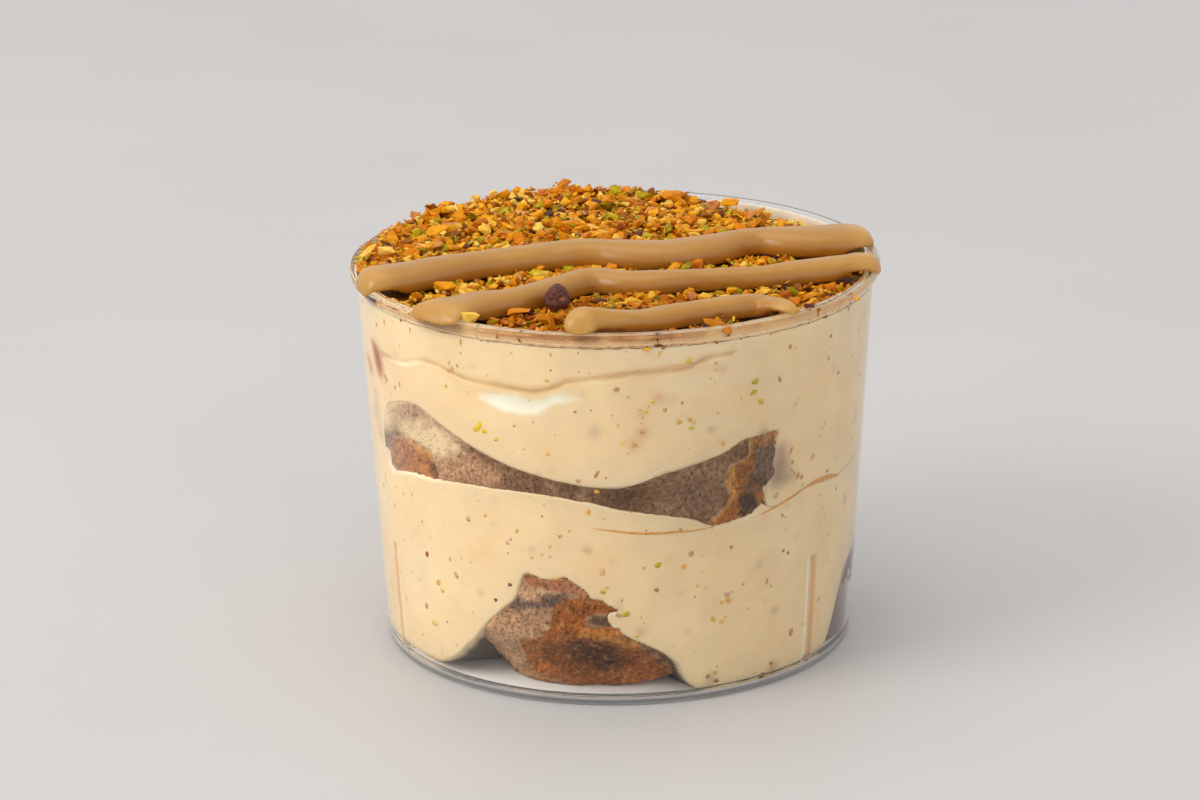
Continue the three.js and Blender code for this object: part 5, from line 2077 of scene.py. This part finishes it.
@dataclass
class Crumble:
    """Chopped nuts, strewn over the upper cream up to the rim."""

    size: CupSize
    layers: Layers
    noise: Noise
    seed: int = 11
    cell: float = 0.35
    depth: RoundCurve = RoundCurve(((-110, 0.5), (-80, 1.1), (-45, 1.5), (60, 1.5), (100, 1.2),
        (150, 0.6), (200, -0.3)))
    middle_depth: float = 1.2
    wall_room: float = 0.05
    tilt: float = 0.38
    # Pieces towards the front take darker tones: painted shade between the piped lines, where the
    # crumbs are also wetter.
    soaked: float = 0.85
    stray_tone: float = 0.7
    front_shade_from: float = -14.0
    front_shade_fully: float = -30.0
    line_clearance: float = 0.15
    piece_level: float = 65.0
    draws_per_try: int = 4
    contact: float = 0.06
    bed_rings: int = 90
    bed_sectors: int = 400
    inset: Spots = (
        (95, 0), (110, 1.6), (130, 2.6), (150, 1.8), (165, 0), (215, -0.9), (260, -0.9),
        (285, -0.5), (310, 0),
    )
    routes: tuple[Array, ...] = field(
        default_factory=lambda: tuple(route.centre() for route in PIPED_ROUTES)
    )

    def ground(self, x: Array, y: Array) -> Array:
        """The height of the crumble's fine bed.

        Args:
            x: Where to look.
            y: Where to look.

        Returns:
            The heights.
        """
        angle = np.degrees(np.arctan2(x, -y))
        share = np.hypot(x, y) / self.size.inside(self.layers.bed_top_centre)
        part = np.minimum(share, 1)
        top = lerp(self.layers.bed_top_centre, self.layers.bed_top(angle), part**2)
        bed = top - lerp(self.middle_depth, self.depth(angle), part)
        return np.where(share > 1.003, self.size.height, bed)

    def _under_lines(self, x: Array, y: Array) -> Array:
        """How deep each spot lies under a piped line, below 0 beside them.

        Args:
            x: Where to look.
            y: Where to look.

        Returns:
            The depths.
        """
        deep = np.full(np.shape(x), -np.inf)
        for line in self.routes:
            for cx, cy, width, _ in line[::2]:
                deep = np.maximum(deep, width / 2 - np.hypot(x - cx, y - cy))
        return deep

    def bed(self) -> bpy.types.Object:
        """The fine crumbs under the pieces, as one uneven layer up to the wall.

        Returns:
            The piece.
        """
        edge = self.size.inside(self.layers.bed_top_centre) + self.contact
        angles = np.linspace(0, 360, self.bed_sectors, endpoint=False)
        top = []
        for share in np.sqrt(np.linspace(1, 1 / self.bed_rings, self.bed_rings)):
            ring = polar(edge * share, angles, 0.0)
            ring[:, 2] = self.ground(ring[:, 0], ring[:, 1])
            ring[:, 2] += 0.3 * self.noise.rough(ring, 1.6, 3)
            top.append(ring)
        low = self.layers.cream_top(angles) - 0.05
        shares = (0.0, 0.25, 0.5, 0.75)
        side = [polar(edge, angles, lerp(low, top[0][:, 2], share)) for share in shares]
        under = lid(edge, angles, self.layers.cream_top_centre - 0.05, low)
        piece = mesh_object("crumb_bed", *loft(np.concatenate([under, side, top])))
        points = points_of(piece)
        grain = self.noise.rough(points, 1.0, 3)
        paint = Paint.even(len(points), (140, 82, 14))
        paint.lay((180, 118, 24), smoothstep(0.0, 0.5, grain))
        paint.lay((88, 50, 14), self.noise.patches(points + 31, 1.1, 0.1, 0.6))
        paint.lay((128, 106, 16), 0.8 * self.noise.patches(points + 77, 1.4, 0.25, 0.6, 2))
        paint.store(piece)
        return piece

    def _spot(
        self, rng: np.random.Generator, radius: float, tries: int, heap: HeightMap
    ) -> tuple[float, float, float] | None:
        """A free spot for a piece: the lowest of a few random ones beside the piped lines.

        Args:
            rng: The random draw.
            radius: Half the piece's length.
            tries: How many free spots to compare.
            heap: The crumble so far.

        Returns:
            The spot and how high the crumble stands there, or nothing where all were taken.
        """
        best = None
        inset = RoundCurve(self.inset)
        for _ in range(tries * self.draws_per_try):
            angle = rng.uniform(0, 360)
            edge = self.size.inside(self.piece_level) - self.wall_room - 0.5 * radius
            edge -= float(inset(angle))
            away = edge * math.sqrt(rng.random())
            x, y = away * math.sin(math.radians(angle)), -away * math.cos(math.radians(angle))
            i, j = heap.cells(x, y)
            if self._blocked[i, j] > self.line_clearance - radius:
                continue
            if best is None or heap.height[i, j] - self._start[i, j] < best[2]:
                best = (x, y, heap.height[i, j] - self._start[i, j])
            tries -= 1
            if not tries:
                break
        return best

    def pieces(self) -> list[bpy.types.Object]:
        """The broken nuts, as one mesh for each kind.

        Returns:
            The pieces, in the order of the kinds.
        """
        rng = np.random.default_rng(self.seed)
        heap = HeightMap(self.size.top_radius, self.cell, self.ground)
        self._start = heap.height.copy()
        axis = (np.arange(len(heap.height)) - len(heap.height) // 2) * self.cell
        self._blocked = self._under_lines(*np.meshgrid(axis, axis, indexing="ij"))
        batches = [Batch() for _ in NUT_KINDS]
        for kind_size in PIECE_SIZES:
            shapes = [broken_shape(rng, kind_size.corners) for _ in range(kind_size.shapes)]
            large = kind_size.corners > WORN_FROM
            shares = [kind.large_share if large else kind.share for kind in NUT_KINDS]
            shares = np.array(shares) / sum(shares)
            for _ in range(kind_size.count):
                length = rng.uniform(kind_size.smallest, kind_size.largest)
                spot = self._spot(rng, length / 2, kind_size.tries, heap)
                if spot is None:
                    continue
                points, faces = shapes[rng.integers(len(shapes))]
                turn = Matrix.Rotation(rng.uniform(0, 2 * math.pi), 3, "Z")
                turn = turn @ Matrix.Rotation(rng.normal() * self.tilt, 3, "X")
                turn = turn @ Matrix.Rotation(rng.normal() * self.tilt, 3, "Y")
                shape = length * points @ np.array(turn).T
                height = heap.lay(spot[0], spot[1], shape, kind_size.sink)
                kind = rng.choice(len(NUT_KINDS), p=shares)
                # Darker tones towards the front: painted shade, with wetter crumbs.
                deep = self.soaked * float(smoothstep(self.front_shade_from, self.front_shade_fully, spot[1]))
                at = np.array([spot[0], spot[1], height])
                batches[kind].add(shape + at, faces, rng.random() - deep)
        for kind, x, y, z, length in STRAY_PIECES:
            points, faces = broken_shape(rng, WORN_FROM)
            batches[kind].add(length * points + np.array([x, y, z]), faces, self.stray_tone)
        made = []
        for kind, batch in zip(NUT_KINDS, batches):
            piece, _, tones = batch.build(kind.finish.name, smooth=False)
            number_layer(piece, "tone", tones)
            made.append(piece)
        return made


@dataclass
class WholeNut:
    """The one whole nut on the crumble, with its wrinkled dark skin."""

    noise: Noise
    centre: tuple[float, float, float] = (-9.6, -27.4, 66.2)
    radius: float = 2.1

    def build(self) -> bpy.types.Object:
        """The nut's mesh, painted.

        Returns:
            The piece.
        """
        form = bmesh.new()
        bmesh.ops.create_icosphere(form, subdivisions=5, radius=1.0)
        points, faces = points_and_faces(form)
        ridges = np.abs(self.noise.smooth(points * np.array([1.6, 1.6, 0.8]) + 3, 0.7))
        lumps = 0.22 * self.noise.rough(points + 12, 1.2, 2) + 0.12 * (0.4 - ridges)
        below = 1 - 0.3 * smoothstep(0.2, -1.0, points[:, 2])
        shape = points * (1 + lumps)[:, None] * self.radius
        shape *= np.stack([below, below, 1.0 + 0.35 * smoothstep(0.3, 1.0, points[:, 2])], axis=-1)
        piece = mesh_object("whole_nut", shape + np.array(self.centre), faces)
        paint = Paint.even(len(points), (98, 50, 35))
        paint.lay((156, 98, 74), self.noise.patches(points + 9, 0.6, 0.1, 0.6))
        paint.lay((66, 36, 30), 0.9 * smoothstep(0.0, 0.5, 0.35 - ridges))
        paint.store(piece)
        return piece


# What lies against the wall


def _specks(
    colour: Rgb, length: float, breadth: float, spots: Spots, lean: float = 0.0
) -> list[Speck]:
    """Specks of one colour and size."""
    return [Speck(angle, z, length, breadth, colour, lean) for angle, z in spots]


NAMED_SPECKS = (
    *_specks((246, 214, 24), 1.5, 1.1, ((-32.3, 47.9),), 1.2),
    *_specks((246, 206, 24), 1.3, 0.8, ((-31, 47), (-33, 47.1)), 0.1),
    *_specks((176, 84, 72), 1.1, 1.0, ((-51.6, 22),)),
    *_specks((120, 92, 84), 0.8, 0.7, ((-26.4, 20.4), (-30.5, 17.2))),
    *_specks((206, 196, 60), 1.5, 1.0, ((1.4, 16.5), (8.9, 25), (31.2, 53.2), (31.6, 54.9)), 0.5),
    *_specks((246, 176, 84), 1.1, 0.7, ((-4.9, 38.2),)),
    *_specks((180, 140, 112), 0.8, 0.7, ((26.6, 26.6), (41.6, 23.6), (43.3, 22.9), (54.9, 59))),
    *_specks((226, 170, 104), 0.9, 0.8, ((40.9, 59.6), (46.6, 35.8), (43.2, 39.1), (59.2, 51.7))),
    *_specks((214, 160, 96), 1.5, 0.7, ((42.6, 41.2), (45.2, 36.2), (-4.9, 41.2)), 1.1),
    *_specks((226, 178, 112), 1.0, 0.8, ((5.3, 48.5), (3.5, 46.3), (15.9, 50), (10.2, 52.1))),
    # Near-white caps: painted glints of small air bubbles against the wall.
    *_specks((255, 250, 240), 0.5, 0.45, ((-37.1, 35.9), (-34, 35.7), (-33.6, 34.5), (-30.3, 34.5),
        (-44.5, 35.2))),
    *_specks((255, 250, 240), 0.4, 0.4, ((10, 41.8), (11.6, 42.1), (8.2, 41), (13.2, 32.2),
        (7.5, 32.9), (-29, 35.9))),
    *_specks((214, 156, 80), 1.2, 0.45, ((-62.1, 61.1), (-51.3, 61.6), (-35.8, 61.9),
        (-57.3, 51.2)), 1.57),
    *_specks((186, 146, 104), 0.9, 0.8, ((36.6, 1.9), (39.3, 3.7), (21.3, 4), (23.5, 3),
        (8.5, 20.5))),
)


@dataclass
class RimSmear:
    """Cream that was wiped up the wall behind the rim: a thin skin with a ragged upper edge."""

    size: CupSize
    layers: Layers
    noise: Noise
    contact: float = 0.06
    thickness: float = 0.3
    sector_count: int = 900
    row_count: int = 14
    top: RoundCurve = RoundCurve(((-100, 63.6), (-75, 63.9), (-55, 64.7), (-20, 65), (30, 65),
        (60, 65.1), (95, 65.3), (130, 65.4), (160, 65), (185, 63.9), (225, 63.6)))

    def build(self) -> bpy.types.Object:
        """The skin's mesh, painted.

        Returns:
            The piece.
        """
        angles = np.linspace(0, 360, self.sector_count, endpoint=False)
        at = polar(self.size.top_radius, angles, 0.0)
        low = self.layers.cream_top(angles) - 0.5
        high = self.top(angles) + 0.35 * self.noise.rough(at, 2.5, 4)
        high = high + 0.3 * self.noise.rough(at + 9, 9.0, 2)
        share = np.linspace(0, 1, self.row_count)[:, None]
        z = lerp(low, np.minimum(high, self.size.height - 0.3), share)
        thick = self.thickness * np.sqrt(1 - share**2) + 0.02
        outer = polar(self.size.inside(z) + self.contact * (1 - share**6) - 0.01, angles, z)
        uneven = self.noise.rough(outer.reshape(-1, 3), 2, 2).reshape(z.shape)
        inner = polar(self.size.inside(z) - thick * (1 + 0.4 * uneven), angles, z)
        rings = np.concatenate([outer, inner[::-1]])
        piece = mesh_object("rim_smear", *hoop(rings))
        points = rings.reshape(-1, 3)
        paint = Paint.even(len(points), (250, 216, 166))
        pale = RoundCurve(((-90, 0.0), (60, 0.0), (95, 1.0), (150, 1.0), (175, 0.2)))
        turn = turn_of(points)
        paint.lay((232, 216, 190), np.clip(pale(turn), 0, 1))
        grain = self.noise.rough(points + 14, 1.3, 3)
        nutty_front = ((-90, 0.2), (-40, 0.25), (-20, 0.9), (12, 0.9), (26, 0.3), (90, 0.1))
        front = RoundCurve(nutty_front)(turn)
        band = smoothstep(62.9, 63.3, points[:, 2]) * (1 - smoothstep(63.7, 64.1, points[:, 2]))
        paint.lay((184, 114, 60), front * band * (0.4 + 0.5 * smoothstep(-0.2, 0.5, grain)))
        nutty = smoothstep(64.1, 64.4, points[:, 2]) * (1 - np.clip(pale(turn), 0, 1))
        paint.lay((220, 174, 118), 0.85 * nutty)
        paint.lay((174, 115, 58), 0.85 * nutty * front)
        level = self.noise.rough(points * np.array([0.12, 0.12, 1.0]) + 41, 0.5, 3)
        paint.lay((238, 190, 126), 0.7 * nutty * smoothstep(0.05, 0.45, level))
        paint.lay((132, 78, 30), (0.2 + 0.45 * front) * nutty * smoothstep(0.05, 0.45, -level))
        paint.store(piece)
        return piece


@dataclass
class WallMarks:
    """Nut dust and the painted glints of small bubbles that show through the wall."""

    size: CupSize
    layers: Layers
    noise: Noise
    seed: int = 5
    level: float = 0.15
    spread: float = 0.68
    random_count: int = 560
    sides: int = 9
    colours: tuple[Rgb, ...] = (
        (247, 208, 104), (246, 190, 104), (222, 204, 100), (224, 180, 146), (206, 160, 130),
        (248, 216, 130), (246, 196, 112), (236, 196, 144),
    )

    def _free(self, angle: Array, z: Array) -> Array:
        """Whether cream lies against the wall at each spot.

        Args:
            angle: The spots' angles.
            z: Their heights.

        Returns:
            Whether each spot is free.
        """
        free = (z > 2.5) & (z < self.layers.cream_top(angle) - 0.6)
        for face in (FRONT_SPONGE_FACE, BACK_SPONGE_FACE):
            free &= face.depth(self.size, angle, z) < -0.7
        for arch in ARCHES:
            free &= arch.inwards(self.size, angle, z) <= 0
        return free & (self.size.rib(angle, z, 0.8) <= 0)

    def specks(self) -> bpy.types.Object:
        """All the specks, as flat caps that lie on the wall's inner face.

        Returns:
            The piece.
        """
        rng = np.random.default_rng(self.seed)
        angle = rng.uniform(0, 360, self.random_count)
        z = rng.uniform(2, 63, self.random_count)
        specks = list(NAMED_SPECKS)
        for a, h in zip(angle[keep := self._free(angle, z)], z[keep]):
            length = 0.5 + 1.0 * rng.random() ** 2.2
            colour = self.colours[rng.integers(len(self.colours))]
            breadth = length * rng.uniform(0.55, 1.0)
            specks.append(Speck(a, h, length, breadth, colour, rng.uniform(-2, 2)))
        batch, sides = Batch(), self.sides
        after = [*range(1, sides), 0]
        faces = [[0, 1 + k, 1 + n] for k, n in enumerate(after)]
        faces += [[1 + k, 1 + sides + k, 1 + sides + n, 1 + n] for k, n in enumerate(after)]
        faces += [[1 + sides + k, 1 + 2 * sides, 1 + sides + n] for k, n in enumerate(after)]
        turn = np.arange(sides) * 2 * math.pi / sides
        for speck in specks:
            uneven = rng.uniform(0.7, 1.15, sides)
            u = uneven * np.cos(turn) * speck.length * self.spread
            v = uneven * np.sin(turn) * speck.breadth * self.spread
            across = u * math.cos(speck.lean) - v * math.sin(speck.lean)
            up = u * math.sin(speck.lean) + v * math.cos(speck.lean)
            rings = []
            for share, lift in ((0.0, 1.0), (0.55, 0.85), (1.0, -0.2), (0.0, -1.0)):
                count = sides if share else 1
                height = speck.z + share * up[:count]
                spread = np.degrees(share * across[:count] / self.size.inside(speck.z))
                radius = self.size.inside(height) + lift * self.level
                rings.append(polar(radius, speck.angle + spread, height))
            batch.add(np.vstack(rings), faces, speck.colour)
        piece, points, colours = batch.build("nut_dust_and_glints")
        Paint(colours).shade(1 + 0.25 * self.noise.rough(points, 0.8, 2)).store(piece)
        return piece


@dataclass(frozen=True)
class CoffeeLine:
    """A thin line where coffee has crept between cream and wall."""

    track: Spots
    width: float
    colour: Rgb = (214, 136, 52)


COFFEE_LINES = (
    CoffeeLine(((34.1, 31.3), (37.2, 31.7), (40.6, 32.3), (44.8, 33), (49, 33.7), (53, 33.9)), 0.5,
        (236, 170, 88)),
    CoffeeLine(((47.6, 33.6), (50.6, 33.9), (54.5, 33.9), (58.5, 33.6), (62.5, 32.9)), 1.1,
        (234, 172, 98)),
    CoffeeLine(((41.9, 39.2), (42.4, 38.2), (43.4, 37.5), (44.8, 36.4), (46.3, 35.5)), 0.25,
        (226, 164, 92)),
    CoffeeLine(((-6, 31.7), (-1.6, 31.3), (2.5, 30.9), (7.7, 30.6), (12.9, 30.6), (16.4, 30.5),
        (21.5, 30.7)), 0.6, (238, 176, 96)),
)


@dataclass
class CoffeeLines:
    """The coffee lines, as thin rounded ribbons on the wall's inner face."""

    size: CupSize
    level: float = 0.1
    columns: int = 5

    def build(self) -> bpy.types.Object:
        """The ribbons in one mesh, painted.

        Returns:
            The piece.
        """
        batch = Batch()
        for line in COFFEE_LINES:
            track = smooth_line(line.track, 14)
            flat = self.size.flat(track[:, 0], track[:, 1], 0)
            along = np.gradient(flat, axis=0)
            along /= np.linalg.norm(along, axis=1, keepdims=True)
            share = np.linspace(0, 1, len(track))
            half = line.width / 2 * np.sqrt(np.sin(math.pi * np.clip(share, 0.01, 0.99)))
            rings = []
            for turn in np.arange(2 * self.columns) * math.pi / self.columns:
                across = math.cos(turn) * half
                z = flat[:, 1] + along[:, 0] * across
                angle = track[:, 0] - np.degrees(along[:, 1] * across / self.size.inside(z))
                rings.append(polar(self.size.inside(z) + self.level * math.sin(turn), angle, z))
            index = np.arange(len(rings) * len(track)).reshape(len(rings), -1)
            after = np.roll(index, -1, axis=0)
            quads = np.stack([index[:, :-1], after[:, :-1], after[:, 1:], index[:, 1:]], axis=-1)
            faces = quads.reshape(-1, 4).tolist() + [index[::-1, 0].tolist(), index[:, -1].tolist()]
            batch.add(np.vstack(rings), faces, line.colour)
        piece, _, colours = batch.build("coffee_lines")
        Paint(colours).store(piece)
        return piece


# The studio


@dataclass(frozen=True)
class SoftLight:
    """A square soft light that looks at the dessert."""

    name: str
    place: tuple[float, float, float]
    side: float
    power: float
    colour: Rgb = (255, 255, 255)


@dataclass
class Studio:
    """A pale floor, soft light and the camera."""

    floor_side: float = 6.0
    floor_colour: Rgb = (190, 187, 184)
    sky_colour: Rgb = (248, 248, 250)
    sky_strength: float = 0.9
    target: tuple[float, float, float] = (0.0, 0.0, 0.035)
    lights: tuple[SoftLight, ...] = (
        SoftLight("key_light", (-0.78, -0.4, 0.66), 0.5, 4.7, (255, 251, 246)),
        SoftLight("fill_light", (0.75, -0.75, 0.35), 1.0, 1.8, (255, 252, 248)),
        SoftLight("top_light", (-0.2, 0.1, 1.3), 1.0, 4.2, (252, 253, 255)),
    )
    lens: float = 126.0
    sensor: float = 36.0
    distance: float = 722.7
    aim_height: float = 33.0
    pitch: float = 17.87
    roll: float = -0.8
    right: float = -2.93
    up: float = 7.0

    def _floor(self) -> None:
        """Lays the floor."""
        half = self.floor_side / 2 / MM
        corners = [(-half, -half, 0), (half, -half, 0), (half, half, 0), (-half, half, 0)]
        floor = mesh_object("floor", np.array(corners, float), [[0, 1, 2, 3]], smooth=False)
        finish = PlainFinish("pale_floor", self.floor_colour, 0.55, 0.03, 140.0)
        floor.data.materials.append(finish.material())

    def _light(self, light: SoftLight) -> None:
        """Hangs one light.

        Args:
            light: The light.
        """
        lamp = bpy.data.lights.new(light.name, "AREA")
        lamp.shape = "SQUARE"
        lamp.size = light.side
        lamp.energy = light.power
        lamp.color = linear(light.colour)
        holder = bpy.data.objects.new(light.name, lamp)
        holder.location = light.place
        away = Vector(light.place) - Vector(self.target)
        holder.rotation_euler = away.to_track_quat("Z", "Y").to_euler()
        bpy.context.scene.collection.objects.link(holder)

    def _camera(self) -> None:
        """Sets the camera up."""
        pitch, roll = math.radians(self.pitch), math.radians(self.roll)
        ahead = Vector((0, math.cos(pitch), -math.sin(pitch)))
        level, upright = Vector((1, 0, 0)), Vector((0, math.sin(pitch), math.cos(pitch)))
        side = level * math.cos(roll) + upright * math.sin(roll)
        top = upright * math.cos(roll) - level * math.sin(roll)
        place_at = Vector((0, 0, self.aim_height)) - ahead * self.distance
        place_at += side * self.right
        place_at += top * self.up
        data = bpy.data.cameras.new("camera")
        data.lens = self.lens
        data.sensor_width = self.sensor
        data.clip_end = 20
        camera = bpy.data.objects.new("camera", data)
        turn = Matrix((side, top, -ahead)).transposed().to_4x4()
        camera.matrix_world = Matrix.Translation(place_at * MM) @ turn
        bpy.context.scene.collection.objects.link(camera)
        bpy.context.scene.camera = camera

    def build(self) -> None:
        """Sets up the floor, the lights, the sky and the camera."""
        scene = bpy.context.scene
        scene.view_settings.view_transform = "Standard"
        world = bpy.data.worlds.new("sky")
        scene.world = world
        world.use_nodes = True
        sky = world.node_tree.nodes["Background"].inputs
        sky["Color"].default_value = (*linear(self.sky_colour), 1.0)
        sky["Strength"].default_value = self.sky_strength
        self._floor()
        for light in self.lights:
            self._light(light)
        self._camera()


# Building


def main() -> None:
    """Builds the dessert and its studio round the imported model."""
    logging.basicConfig(level=logging.INFO, format="%(name)s: %(message)s")
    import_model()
    size, layers, noise = CupSize(), Layers(), Noise(3)
    Studio().build()
    wall, ring, plate = ClearCup(size).build()
    place(wall, ClearPlastic().material(), Slot.CUP, "cup")
    # The foot ring's finish reads the ring's painted light and shade.
    foot = PlainFinish("foot_ring_painted_light", (0, 0, 0), 0.1, 0.05, 9.0, 0.45, True)
    place(ring, foot.material(), Slot.CUP)
    # The cup's floor is a pale, mostly opaque plate: painted light where the lit floor would show
    # through the clear bottom.
    floor = PlainFinish("cup_floor_painted_light", (236, 230, 225), 0.3, 0.02, 30.0, 0.8)
    place(plate, floor.material(), Slot.CUP)
    lower, upper = Creams(size, layers, noise).build()
    cream = SoftCream("whipped_cream").material()
    place(lower, cream, Slot.CREAM, "cream_lower")
    place(upper, cream, Slot.CREAM, "cream_upper")
    crumb = SoakedCrumb().material()
    place(MiddleSponge(size, layers, noise).build(), crumb, Slot.SPONGE, "sponge_middle")
    for look in SPONGE_LOOKS:
        place(BaseSponge(size, noise, look).build(), crumb, Slot.SPONGE, look.node)
    crumble = Crumble(size, layers, noise)
    place(crumble.bed(), SoakedCrumb("fine_crumbs", 0.6).material(), Slot.NUTS, "nut_topping")
    for kind, piece in zip(NUT_KINDS, crumble.pieces()):
        place(piece, kind.finish.material(), Slot.NUTS)
    skin = SoakedCrumb("nut_skin", 0.45, contrast=0.2).material()
    place(WholeNut(noise).build(), skin, Slot.NUTS)
    place(RimSmear(size, layers, noise).build(), cream, Slot.CREAM)
    piped = SoftCream("coffee_cream", 0.33, 0.25, 3.0, 0.3, 1.0, 0.8, 0.03, 0.03).material()
    for route in PIPED_ROUTES:
        place(PipedLine(size, route, noise).build(), piped, Slot.PIPED)
    marks = WallMarks(size, layers, noise)
    place(marks.specks(), SoakedCrumb("dust", 0.5, contrast=0.15).material(), Slot.NUTS)
    coffee = SoakedCrumb("coffee", 0.4, contrast=0.1).material()
    place(CoffeeLines(size).build(), coffee, Slot.SPONGE)


if __name__ == "__main__":
    main()
